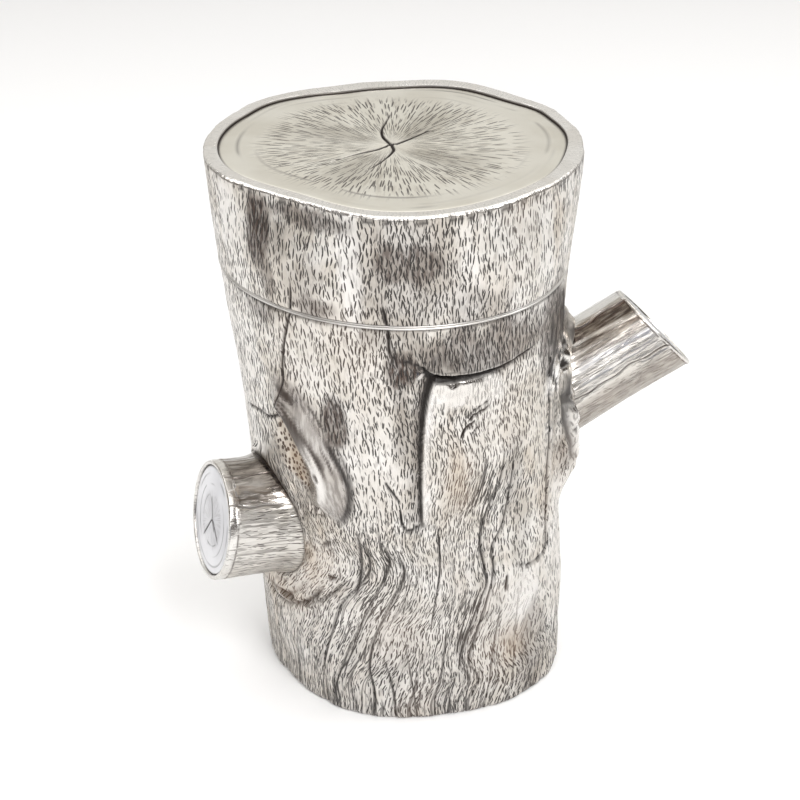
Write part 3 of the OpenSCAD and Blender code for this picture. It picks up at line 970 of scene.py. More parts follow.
def node(tree: bpy.types.NodeTree, kind: str, settings: dict[str, object],
         inputs: dict[str | int, object], output: str | int = 0) -> Shade:
    """Adds one node.

    Args:
        tree: The tree to add it to.
        kind: The node's type name.
        settings: Its own settings, which are set first.
        inputs: Values or links for its sockets, by name or number.
        output: The output socket to return.

    Returns:
        The output, ready for Python's operators.
    """
    made = tree.nodes.new(kind)
    for key, value in settings.items():
        setattr(made, key, value)
    for key, value in inputs.items():
        socket = made.inputs[key]
        if isinstance(value, Shade):
            tree.links.new(value.socket, socket)
        else:
            socket.default_value = value
    return Shade(tree, made.outputs[output])


def mixed(tree: bpy.types.NodeTree, share: Shade, first: Shade | Color, second: Shade | Color) -> Shade:
    """A blend of two colours.

    Args:
        tree: The tree to add it to.
        share: 0 gives the first colour and 1 the second.
        first: The first colour.
        second: The second colour.

    Returns:
        The blended colour.
    """
    ends = [end if isinstance(end, Shade) else (*end, 1.0) for end in (first, second)]
    return node(tree, "ShaderNodeMix", {"data_type": "RGBA"}, {0: share, 6: ends[0], 7: ends[1]}, 2)


def split(vector: Shade) -> tuple[Shade, Shade]:
    """The first two parts of a vector."""
    first = node(vector.tree, "ShaderNodeSeparateXYZ", {}, {0: vector})
    return first, first.beside(1)


def mask_named(tree: bpy.types.NodeTree, name: str) -> Shade:
    """A mask stored on the mesh."""
    return node(tree, "ShaderNodeAttribute", {"attribute_name": name}, {}, "Fac")


def cloudy(vector: Shade, scale: float, detail: float) -> Shade:
    """Noise from 0 to 1, its scale in features per unit of the vector."""
    return node(vector.tree, "ShaderNodeTexNoise", {}, {"Vector": vector, "Scale": scale, "Detail": detail})


def metal(name: str) -> tuple[bpy.types.Material, bpy.types.NodeTree, bpy.types.ShaderNode]:
    """A new material, its tree and its shader."""
    material = bpy.data.materials.new(name)
    material.use_nodes = True
    return material, material.node_tree, material.node_tree.nodes["Principled BSDF"]


def connect(shader: bpy.types.ShaderNode, inputs: dict[str, Shade]) -> None:
    """Links values to the shader's sockets."""
    for key, value in inputs.items():
        value.tree.links.new(value.socket, shader.inputs[key])


def bumped(height: Shade, strength: float, depth: float) -> Shade:
    """A normal tilted by the height, where a height of 1 is that depth in metres."""
    inputs = {"Height": height, "Strength": strength, "Distance": depth}
    return node(height.tree, "ShaderNodeBump", {}, inputs)


@dataclass(frozen=True)
class Strokes:
    """One layer of chased strokes: cell size across and along the grain, and each stroke's half size."""

    across: float
    along: float
    half_width: float
    half_length: float
    lean: float = 0.35

    def draw(self, tree: bpy.types.NodeTree, u: Shade, v: Shade, shift: float) -> tuple[Shade, Shade]:
        """Draws the strokes.

        A stroke is an ellipse at its cell's random point: with (p, q) the offset from that point, turned
        by a random lean, the mask is 1 inside (p / half width)^2 + (q / half length)^2 < 1.

        Args:
            tree: The tree to add them to.
            u: Coordinate across the grain.
            v: Coordinate along the grain.
            shift: Moves the pattern, in cells, so that two layers don't agree.

        Returns:
            Mask of the strokes, and a random value for each one.
        """
        across, along = u * (1 / self.across) + shift, v * (1 / self.along)
        cell = node(tree, "ShaderNodeCombineXYZ", {}, {0: across, 1: along})
        point = node(tree, "ShaderNodeTexVoronoi", {"voronoi_dimensions": "2D", "feature": "F1"},
                     {"Scale": 1.0, "Randomness": 0.9, "Vector": cell}, "Position")
        offset = node(tree, "ShaderNodeVectorMath", {"operation": "SUBTRACT"}, {0: cell, 1: point})
        chance = node(tree, "ShaderNodeSeparateColor", {}, {0: point.beside("Color")})
        size, lean = chance.beside(1), chance.beside(2)
        p, q = split(offset)
        p, q = p * self.across, q * self.along
        p = p + q * ((lean - 0.5) * (2 * self.lean))
        reach = (p * (1 / self.half_width)) ** 2 + (q * (1 / self.half_length)) ** 2
        return (reach - size * 0.6).between(0.95, 0.4), chance


@dataclass(frozen=True)
class BarkFinish:
    """Chased silver: satin ground, dark oxide in strokes and furrows, polish, tarnish, painted highlight and
    painted shade.
    """

    name: str = "chased_silver"
    ground: Color = (0.60, 0.56, 0.505)
    pale: Color = (0.76, 0.735, 0.70)
    tan: Color = (0.47, 0.375, 0.275)
    rust: Color = (0.15, 0.088, 0.055)
    # Tarnish, also the colour of painted shade and painted dark reflections.
    tarnish_and_painted_shade: Color = (0.088, 0.066, 0.056)
    oxide: Color = (0.022, 0.018, 0.016)
    # Colour of the painted highlights.
    bright: Color = (0.79, 0.77, 0.745)
    polished: Color = (0.80, 0.79, 0.78)
    long_strokes: Strokes = Strokes(0.76, 2.0, 0.14, 0.95, 0.25)
    short_strokes: Strokes = Strokes(0.62, 1.4, 0.10, 0.54, 0.4)
    punch_dots: Strokes = Strokes(0.85, 1.15, 0.26, 0.36, 0.2)
    density: float = 0.9
    streak_share: float = 0.3

    def make(self) -> bpy.types.Material:
        """Builds the finish.

        Returns:
            The material.
        """
        material, tree, shader = metal(self.name)
        u, v = split(node(tree, "ShaderNodeUVMap", {"uv_map": "grain"}, {}))
        oxide, polish, shade, warmth, flow, glow, punch = (mask_named(tree, key) for key in MASKS)
        place = node(tree, "ShaderNodeTexCoord", {}, {}, "Object")

        def grain(across: float, along: float, detail: float) -> Shade:
            """Noise over the grain, in features per millimetre across and along it."""
            return cloudy(node(tree, "ShaderNodeCombineXYZ", {}, {0: u * across, 1: v * along}), 1.0, detail)

        streaks = grain(1.5, 0.30, 5.0)
        broad = grain(0.16, 0.045, 2.0)
        furrows = (grain(0.60, 0.035, 1.0) - 0.5).size().between(0.034, 0.006) * flow
        patches = cloudy(place, 130.0, 3.0)
        wide_patches = cloudy(place, 42.0, 2.0)
        sway = (cloudy(place, 70.0, 2.0) - 0.5) * 1.2
        long_mask, long_chance = self.long_strokes.draw(tree, u + sway, v, 0.0)
        short_mask, short_chance = self.short_strokes.draw(tree, u + sway, v + 3.3, 7.7)
        plenty = wide_patches * 0.9 + patches * 0.35 + shade * 0.25 + flow * 0.1 - glow * 0.2
        plenty = plenty * self.density
        long_mask = long_mask * (plenty - long_chance * 0.70).between(-0.05, 0.15)
        short_mask = short_mask * (plenty - short_chance * 0.95).between(-0.05, 0.15)
        rubbed = 1.0 - polish
        dots, _ = self.punch_dots.draw(tree, u, v, 5.1)
        dots = dots * punch
        strokes = long_mask.most(short_mask * 0.85) * rubbed * (1.0 - punch)
        tone = mixed(tree, patches.between(0.38, 0.66), self.ground, self.pale)
        tone = mixed(tree, streaks.between(0.52, 0.70) * rubbed * 0.5, tone, self.pale)
        warm = (warmth * patches.between(0.2, 0.75)).most(wide_patches.between(0.60, 0.85) * 0.4)
        tone = mixed(tree, warm, tone, self.tan)
        tone = mixed(tree, broad.between(0.52, 0.70) * self.streak_share, tone, self.tan)
        # Painted highlight where the glow mask says so.
        tone = mixed(tree, glow * 0.75, tone, self.bright)
        # Tarnish with painted shade and painted dark reflection where the shade mask says so.
        dull = shade * (streaks.between(0.34, 0.60) * 0.48 + 0.44) + shade * shade * shade * 0.08
        tone = mixed(tree, dull, tone, self.tarnish_and_painted_shade)
        tone = mixed(tree, streaks.between(0.46, 0.34) * rubbed * self.streak_share, tone, self.tarnish_and_painted_shade)
        tone = mixed(tree, polish * (1.0 - shade) * 0.5, tone, self.polished)
        dark = (strokes * 0.95).most(oxide).most(furrows * 0.9).most(dots * 0.95)
        blackened = mixed(tree, warmth * patches.between(0.1, 0.6), self.oxide, self.rust)
        tone = mixed(tree, dark, tone, blackened)
        height = streaks * 0.7 * rubbed - strokes - dots - furrows * 0.9 - oxide * 0.3
        height = height + cloudy(place, 900.0, 2.0) * 0.12
        connect(shader, {"Base Color": tone, "Metallic": 1.0 - dark * 0.75,
                         "Roughness": 0.30 + 0.10 * patches - polish * 0.17 + dark * 0.25,
                         "Normal": bumped(height, 1.0, 0.0002)})
        return material


@dataclass(frozen=True)
class PlainFinish:
    """Plain silver, polished or satin, with fine scratches along one direction and faint cloudiness."""

    name: str
    color: Color = (0.74, 0.72, 0.69)
    roughness: float = 0.2
    stretch: tuple[float, float, float] = (1.0, 1.0, 14.0)

    def make(self) -> bpy.types.Material:
        """Builds the finish.

        Returns:
            The material.
        """
        material, tree, shader = metal(self.name)
        place = node(tree, "ShaderNodeTexCoord", {}, {}, "Object")
        along = node(tree, "ShaderNodeMapping", {}, {"Vector": place, "Scale": self.stretch})
        haze = cloudy(place, 60.0, 3.0)
        dull = tuple(c * 0.8 for c in self.color)
        shader.inputs["Metallic"].default_value = 1.0
        connect(shader, {"Base Color": mixed(tree, haze.between(0.35, 0.75), self.color, dull),
                         "Roughness": self.roughness + haze * 0.12,
                         "Normal": bumped(cloudy(along, 500.0, 4.0), 0.25, 0.00004)})
        return material


@dataclass(frozen=True)
class GrainFinish:
    """Sawn end grain in silver: radial chisel marks inside, plain rings outside, dark oxide in the cracks.

    The UV map holds the turn in radians and the radius in millimetres.
    """

    name: str
    radius: float
    rays: float
    core: float = 0.86
    marks: float = 1.0
    color: Color = (0.72, 0.695, 0.63)
    cream: Color = (0.62, 0.59, 0.52)
    oxide: Color = (0.035, 0.028, 0.024)
    spoke: Color = (0.36, 0.32, 0.27)
    # Colour of the painted shade in the valleys between facets.
    valley: Color = (0.30, 0.27, 0.22)
    strokes: Strokes = Strokes(0.58, 3.4, 0.115, 1.75, 0.07)

    def make(self) -> bpy.types.Material:
        """Builds the finish.

        Returns:
            The material.
        """
        material, tree, shader = metal(self.name)
        turn, reach = split(node(tree, "ShaderNodeUVMap", {"uv_map": "grain"}, {}))
        oxide, painted_sector_shade = mask_named(tree, "oxide"), mask_named(tree, "shade")
        haze = cloudy(node(tree, "ShaderNodeTexCoord", {}, {}, "Object"), 75.0, 3.0)
        core = self.core * self.radius
        edge = (reach + (haze - 0.5) * 0.2 * self.radius).between(core, core * 0.8)
        strokes, chance = self.strokes.draw(tree, turn * self.rays, reach, 3.0)
        inner = reach.between(0.04 * self.radius, 0.22 * self.radius)
        strokes = strokes * (haze * 1.5 - chance * 0.8).between(0.0, 0.2) * edge * inner * self.marks
        swirl = {0: turn.cosine() * 9.0, 1: turn.sine() * 9.0, 2: reach * 0.10}
        spokes = cloudy(node(tree, "ShaderNodeCombineXYZ", {}, swirl), 2.2, 4.0)
        tone = mixed(tree, haze.between(0.35, 0.7), self.color, self.cream)
        tone = mixed(tree, spokes.between(0.5, 0.7) * edge * (0.5 * self.marks), tone, self.spoke)
        # Painted shade in the valleys between facets.
        tone = mixed(tree, painted_sector_shade * edge, tone, self.valley)
        dark = (strokes * 0.9).most(oxide)
        height = spokes * 0.8 * edge * inner - strokes - oxide * 0.3
        connect(shader, {"Base Color": mixed(tree, dark, tone, self.oxide), "Metallic": 1.0 - dark * 0.75,
                         "Roughness": 0.27 + 0.10 * haze + edge * 0.08 + dark * 0.25,
                         "Normal": bumped(height, 0.7, 0.00012)})
        return material


# ---------------------------------------------------------------- pieces


@dataclass
class Trunk:
    """The body of the box: bark wall, mouth wire, friction collar and base plate."""

    wall: float = 1.2
    wire: float = 0.5
    collar_fit: float = 0.1
    collar_thick: float = 0.9
    collar_up: float = 8.0
    collar_down: float = 6.0
    base_thick: float = 1.2
    chaser: Chaser = field(default_factory=Chaser)

    def bark(self, material: bpy.types.Material) -> bpy.types.Object:
        """The chased wall: rings up the outside, over the mouth, and down the plain inside.

        Args:
            material: Its finish.

        Returns:
            The piece.
        """
        top = FORM.seam - self.wire
        fine = np.linspace(0, top, 961)
        density = 1.0 + 2.6 * bell(fine - 86.3, 1.9) + 0.8 * bell(fine, 1.5) + 2.0 * bell(fine - top, 0.8)
        density += 0.7 * bell(fine - 42, 14) + 1.1 * bell(fine - 74, 11)
        z = crowded(density, fine, DETAIL.count(132))
        angle = crowded_angles(z, self.chaser.cuts, DETAIL.value)
        grid_z = np.repeat(z[:, None], angle.shape[1], 1)
        bark = self.chaser.at(angle, grid_z)
        edge = 0.14 * bell(top - grid_z, 0.12) + 0.45 * bell(grid_z, 0.35)
        radius = FORM.radius(angle, grid_z) + self._quiet(grid_z, top) * bark.relief - edge
        outer = FORM.place(angle, grid_z, radius)[:, :-1]
        inner_z = np.array([top, top - 0.15, top - 8, 70, 50, 30, 15, 0.15, 0])
        inner_angle = np.repeat(angle[-1:], len(inner_z), 0)
        inner_angle[4:] = angle[0]
        grid = np.repeat(inner_z[:, None], inner_angle.shape[1], 1)
        inset = self.wall + np.where((grid == top) | (grid == 0), -0.12, 0.0)
        inner = FORM.place(inner_angle, grid, FORM.radius(inner_angle, grid) - inset)[:, :-1]
        quiet = np.zeros((len(inner_z), outer.shape[1]))
        # The plain inside: polished, a little tarnish and painted shade, and some painted highlight.
        inside = dict(zip(MASKS, (0.0, 1.0, 0.15, 0.2, 0.0, 0.3, 0.0)))
        outside = {key: getattr(bark, key) for key in inside}
        outside["oxide"] = np.maximum(bark.oxide, 0.5 * bell(top - grid_z, 0.12))
        masks = {key: np.vstack([outside[key][:, :-1], quiet + fill]) for key, fill in inside.items()}
        inner_grain = np.stack([(inner_angle - BACK - 180.0) * ARC, grid], -1)
        piece = surface("trunk_bark", np.vstack([outer, inner]), material, loop=True,
                        grain=np.vstack([bark.grain, inner_grain]), masks=masks)
        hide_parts("trunk_wall")
        return piece

    @staticmethod
    def _quiet(z: np.ndarray, top: float) -> np.ndarray:
        """Share of the relief kept: it fades in the last half millimetre below the mouth."""
        return 0.35 + 0.65 * ramp(top - z, 0.0, 0.9)

    def ring(self, name: str, section: Sequence[tuple[float, float]], material: bpy.types.Material,
             shape_z: float) -> bpy.types.Object:
        """A plain ring that follows the trunk's outline at one height.

        Args:
            name: The piece's name.
            section: Its cross-section as (inset from the outline, height), up the outside first.
            material: Its finish.
            shape_z: The height whose outline it follows.

        Returns:
            The piece.
        """
        angle = np.linspace(BACK, BACK + 360, DETAIL.count(480), endpoint=False)[None]
        inset = np.array([s[0] for s in section])[:, None]
        z = np.array([s[1] for s in section])[:, None] + 0 * angle
        radius = FORM.radius(angle + 0 * inset, np.full_like(z, shape_z)) - inset
        points = FORM.place(angle, z, radius, np.full_like(z, shape_z))
        return surface(name, points, material, loop=True, sharp=80)

    def mouth_wire(self, material: bpy.types.Material) -> bpy.types.Object:
        """A half-round wire: its outside bulges by a sine between its lower and upper edges.

        Args:
            material: Its finish.

        Returns:
            The piece.
        """
        t = np.linspace(0, 1, 9)
        low, high = FORM.seam - self.wire, FORM.seam
        section = [(0.16 - 0.2 * math.sin(math.pi * s), low + 0.02 + (self.wire - 0.04) * s) for s in t]
        section += [(0.4, high), (self.wall - 0.05, high), (self.wall, high - 0.05)]
        section += [(self.wall, low), (0.4, low)]
        piece = self.ring("mouth_bead", section, material, FORM.seam)
        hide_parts("mouth_wire")
        return piece

    def friction_collar(self, material: bpy.types.Material) -> bpy.types.Object:
        """The collar that the lid slips over, with a rounded top edge.

        Args:
            material: Its finish.

        Returns:
            The piece.
        """
        out = self.wall + self.collar_fit
        inn = out + self.collar_thick
        low, high = FORM.seam - self.collar_down, FORM.seam + self.collar_up
        mid, r = (out + inn) / 2, self.collar_thick / 2
        crown = [(mid - r * math.cos(a), high - r + r * math.sin(a)) for a in np.linspace(0, math.pi, 11)]
        section = [(out + 0.25, low), (out + 0.02, low + 0.4), (out, FORM.seam), *crown, (inn, FORM.seam),
                   (inn, low + 0.3), (inn - 0.2, low)]
        piece = self.ring("lid_collar", section, material, FORM.seam)
        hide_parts("friction_collar")
        return piece

    def base(self, material: bpy.types.Material) -> bpy.types.Object:
        """The base plate: a disc that fills the foot, very slightly cupped underneath with a turned edge.

        Args:
            material: Its finish.

        Returns:
            The piece.
        """
        angle = np.linspace(BACK, BACK + 360, DETAIL.count(360), endpoint=False)[None]
        rim = FORM.radius(angle, np.zeros_like(angle)) - self.wall - LET_IN_GAP
        section = [(0.02, 0.22), (0.5, 0.2), (0.9, 0.12), (0.965, 0.0), (0.99, 0.0), (1.0, 0.12), (1.0, 1.1),
                   (0.99, self.base_thick), (0.6, self.base_thick), (0.02, self.base_thick)]
        share = np.array([s[0] for s in section])[:, None]
        z = np.array([s[1] for s in section])[:, None] + 0 * angle
        points = FORM.place(angle, z, rim * share, 0 * z)
        piece = surface("foot_plate", points, material, poles=True, sharp=60)
        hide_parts("base_plate")
        return piece


@dataclass
class Branch:
    """One lopped branch: a bark tube and its sawn end."""

    name: str
    knot: Knot
    tube: float = 1.0
    drop: float = 0.3
    disc: float = 1.0
    seed: float = 0.0
    chaser: Chaser = field(default_factory=Chaser)

    def _seat(self) -> np.ndarray:
        """Where the branch's axis meets the bark."""
        k = self.knot
        angle, z = np.array(float(k.angle)), np.array(float(k.z))
        return FORM.place(angle, z, FORM.radius(angle, z) + k.rise)

    def _points(self, turn: np.ndarray, reach: np.ndarray, radius: np.ndarray) -> np.ndarray:
        """Points at a turn from straight up, a distance along the axis and a radius from it."""
        along, across, up = self.knot.axes()
        a = np.radians(turn)
        out = (np.cos(a) * radius)[..., None] * up + (np.sin(a) * radius)[..., None] * across
        return self._seat() + reach[..., None] * along + out

    def _end(self, turn: np.ndarray, radius: np.ndarray) -> np.ndarray:
        """Distance along the axis to the slanting saw cut at a turn and radius."""
        k = self.knot
        return k.length - radius * math.tan(math.radians(k.cut)) * np.cos(np.radians(turn - k.cut_turn))

    def _root(self, turn: np.ndarray, radius: float) -> np.ndarray:
        """Distance along the axis at which the tube enters the bark, found by halving an interval.

        Args:
            turn: Turns from straight up.
            radius: The tube's radius.

        Returns:
            The distance at each turn.
        """
        low, high = np.full(turn.shape, -9.0), np.full(turn.shape, 9.0)
        for _ in range(22):
            mid = (low + high) / 2
            p = self._points(turn, mid, np.full(turn.shape, radius))
            cx, cy = FORM.centre(p[..., 2])
            angle = np.degrees(np.arctan2(p[..., 1] - cy, p[..., 0] - cx))
            outside = np.hypot(p[..., 0] - cx, p[..., 1] - cy) > FORM.radius(angle, p[..., 2]) - 0.45
            low, high = np.where(outside, low, mid), np.where(outside, mid, high)
        return low

    def bark(self, material: bpy.types.Material) -> bpy.types.Object:
        """The tube: rings out along the bark, over the sawn edge and back inside to the root.

        The bark's radius gets slow waves round and along it, fine furrows along it, a flare at the root,
        and a bevel just before the saw cut, pale from polish and painted highlight.

        Args:
            material: Its finish.

        Returns:
            The piece.
        """
        k = self.knot
        cols = DETAIL.count(420)
        turn = np.linspace(0, -360, cols, endpoint=False)[None]
        root = self._root(turn[0], k.radius)[None]
        end = self._end(turn, np.full(turn.shape, k.radius))
        fine_t = np.linspace(0, 1, 400)
        t = crowded(1 + 3 * bell(fine_t - 1, 0.06), fine_t, DETAIL.count(92))[:, None]
        bevel = 0.3
        reach = root + (end - bevel - root) * t
        from_end = end - reach
        wide = round(360 / 20)
        slow = 1.5 * noise((turn + 360) / 20 + 0 * t, reach / 12, 41 + self.seed, wide)
        furrows = noise((turn + 360) / 4 + 0 * t, reach / 9, 42 + self.seed, 90)
        fine = noise((turn + 360) / 2 + 0 * t, reach / 2.6, 43 + self.seed, 180)
        swell = bell(reach - root, 2.2) if k is LEFT else 1.9 * bell(reach - root, 3.2)
        relief = 0.20 * slow + 0.07 * furrows + 0.035 * fine
        low, high = self.step_turns
        line = np.maximum(self._bark_step(turn, reach, low), self._bark_step(turn, reach, high))
        past_low, past_high = wrapped(turn - low), wrapped(turn - high)
        relief = relief - 0.28 * line + 0.18 * ramp(past_low, -2, 2) * ramp(past_low, 30, 4)
        relief = relief + 0.3 * ramp(past_high, -2, 2) * ramp(past_high, 60, 8)
        edge_at = 1.9 if k is LEFT else 0.8
        lip = ramp(from_end, 0.7 * edge_at, 1.15 * edge_at)
        outer_r = k.radius - 0.22 + relief * lip + 0.6 * swell + 0.14 * bell(from_end / edge_at - 0.6, 0.5)
        outer = self._points(turn + 0 * t, reach, outer_r)
        edge_turn = turn + 0 * np.zeros((5, 1))
        edge_r = np.array([-0.18, -0.34, -0.62, -1.0 + 0.12, -1.0])[:, None] + k.radius + 0 * turn
        edge_back = np.array([0.22, 0.05, 0.0, 0.0, 0.12])[:, None]
        edge = self._points(edge_turn, self._end(edge_turn, edge_r) - edge_back, edge_r)
        bore = k.radius - self.tube
        deep = self._end(turn, np.full(turn.shape, bore)) - 2.0
        inner = self._points(np.repeat(turn, 2, 0), np.vstack([deep, root + 0.2]), np.full((2, cols), bore))
        rest = np.zeros((len(edge) + len(inner), cols))
        oxide = np.maximum(0.95 * bell(reach - root, 0.5), 0.85 * line)
        oxide = np.maximum(oxide, 0.85 * bell(from_end - edge_at, 0.16) * ramp(fine, -0.6, 0.1))
        rubbed = self._rubbed(turn, reach)
        polish = np.maximum(0.6 * ramp(from_end, 1.1 * edge_at, 0.8 * edge_at), rubbed * lip)
        # Painted reflection bands and painted shade at the root fill the shade mask, which also warms the
        # tone, and the glow mask.
        shade, glow = self._painted_shade_and_highlight_bands(turn + 4 * slow + 1.5 * furrows, reach, root)
        masks = {"oxide": np.vstack([oxide, rest]),
                 "polish": np.vstack([polish, rest + 0.5]),
                 "shade": np.vstack([shade * lip, rest + 0.12]),
                 "warmth": np.vstack([0.2 + 0.5 * shade, rest]),
                 "flow": np.vstack([0.5 * lip * (1 - rubbed), rest]),
                 # Painted highlight on the bevel before the saw cut.
                 "glow": np.vstack([np.maximum(glow, 0.5 - 0.5 * lip), rest + 0.2]),
                 "punch": np.vstack([0 * shade, rest])}
        around = 2 * math.pi * k.radius
        u = np.linspace(0, around, cols + 1)[None]
        rows = np.vstack([reach, np.repeat(end, len(rest), 0)])
        grain = np.stack([u + 0 * rows[:, :1], np.concatenate([rows, rows[:, :1]], 1)], -1)
        points = np.vstack([outer, edge, inner])
        piece = surface(f"{self.name}_bark", points, material, loop=True, grain=grain, masks=masks)
        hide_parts(f"{self.name}_wall")
        return piece

    @property
    def step_turns(self) -> tuple[float, float]:
        """Turns from straight up to the two long bark lines on the side that faces the front."""
        return (50.0, 17.0) if self.knot is LEFT else (-86.0, -11.0)

    def _bark_step(self, turn: np.ndarray, reach: np.ndarray, middle: float) -> np.ndarray:
        """Mask of one long line in the bark that wanders along the branch."""
        at = middle + 1.6 * np.sin(reach / 2.6 + middle) + 1.2 * np.sin(reach / 1.1)
        return bell(wrapped(turn - at) * self.knot.radius * math.pi / 180, 0.22) * ramp(reach, 0.5, 2.5)

    def _rubbed(self, turn: np.ndarray, reach: np.ndarray) -> np.ndarray:
        """How bright the bark is rubbed: most of the upper side."""
        upper = ramp(np.cos(np.radians(turn)), 0.56, 0.68) + 0 * reach
        return 0.97 * upper if self.knot is LEFT else 0.4 + 0.5 * upper

    def _painted_shade_and_highlight_bands(self, turn: np.ndarray, reach: np.ndarray, root: np.ndarray) -> tuple[np.ndarray, ...]:
        """Bands along the bark of tarnish with painted dark reflection and of painted highlight; painted
        shade at the root.

        Args:
            turn: Turn from straight up, with the bark's waves added.
            reach: Distance along the branch.
            root: Where the tube enters the trunk.

        Returns:
            Tarnish with painted dark reflection and shade, and painted highlight.
        """
        side = wrapped(turn)
        near_root = ramp(reach - root, 7.0, 0.5)
        if self.knot is LEFT:
            dark = 0.75 * ramp(side, -60, -35) * ramp(side, 24, 14) + 0.65 * hump((side - 40) / 12)
            dark = np.maximum(dark, 0.95 * near_root * ramp(side, -60, -30) * ramp(side, 62, 45))
            bright = hump((side - 26) / 9) + 0.6 * ramp(side, 50, 58) * ramp(side, 150, 120)
        else:
            dark = 0.98 * ramp(side, -6, -13) * ramp(side, -46, -36)
            dark = dark + 0.6 * ramp(side, -36, -44) * ramp(side, -62, -54)
            dark = dark * (1 - 0.95 * hump((side + 35) / 4.0))
            dark = dark + 0.62 * ramp(side, -84, -100) * ramp(side, -178, -150)
            dark = np.maximum(dark, 0.9 * near_root * ramp(side, 40, 10) * ramp(side, -60, -45))
            bright = ramp(side, -12, -5) * ramp(side, 70, 40) + hump((side + 61) / 9)
            bright = bright + 0.8 * hump((side + 35) / 4.0)
        return np.clip(dark, 0, 1), np.clip(bright * (1 - near_root), 0, 1)

    def end(self, material: bpy.types.Material, cracks: Sequence[Cut]) -> bpy.types.Object:
        """The sawn end: a disc with growth rings, let in just below the tube's edge.

        Args:
            material: Its finish.
            cracks: The cuts in its face.

        Returns:
            The piece.
        """
        k = self.knot
        rim = k.radius - self.tube - LET_IN_GAP
        cols = DETAIL.count(300)
        turn = np.linspace(0, -360, cols, endpoint=False)[None]
        share = np.concatenate([np.linspace(0.02, 0.94, DETAIL.count(56)), [0.965, 0.985, 1.0]])[:, None]
        wobble = 1 + 0.03 * noise((turn + 360) / 60 + 0 * share, share * 2, 51 + self.seed, 6)
        arcs = ramp(noise((turn + 360) / 20 + 0 * share, share * 9, 55 + self.seed, 18), -0.5, 0.4)
        grown = ((0.84, 0.14), (0.66, 0.09), (0.46, 0.08))
        rings = sum(bell((share * wobble - at) * rim, wide) for at, wide in grown)
        top = -0.10 * rings * arcs + 0.10 * ramp(share, 0.95, 0.5) - 0.35 * ramp(share, 0.955, 1.0)
        stain = 0.6 * rings * arcs + 0.95 * ramp(share, 0.965, 0.99)
        x, y = -share * rim * np.sin(np.radians(turn)), share * rim * np.cos(np.radians(turn))
        for crack in cracks:
            relief, dark = crack.carve(x / ARC, y)
            top = top + relief
            stain = np.maximum(stain, dark)
        radius = rim * share + 0 * turn
        grid_turn = turn + 0 * share
        face = self._points(grid_turn, self._end(grid_turn, radius) - self.drop + top, radius)
        back_share = np.array([1.0, 0.5, 0.02])[:, None]
        back_turn = turn + 0 * back_share
        back_r = rim * back_share + 0 * turn
        back = self._points(back_turn, self._end(back_turn, back_r) - self.drop - self.disc, back_r)
        points = np.vstack([face, back])[::-1]
        masks = {"oxide": np.clip(np.vstack([stain, np.zeros((3, cols))])[::-1], 0, 1)}
        angles = np.radians(np.linspace(0, -360, cols + 1))[None]
        radii = np.vstack([radius, back_r])[::-1, :1]
        grain = np.stack([angles + 0 * radii, radii + 0 * angles], -1)
        piece = surface(f"{self.name}_grain", points, material, poles=True, grain=grain, masks=masks)
        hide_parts(f"{self.name}_end")
        return piece


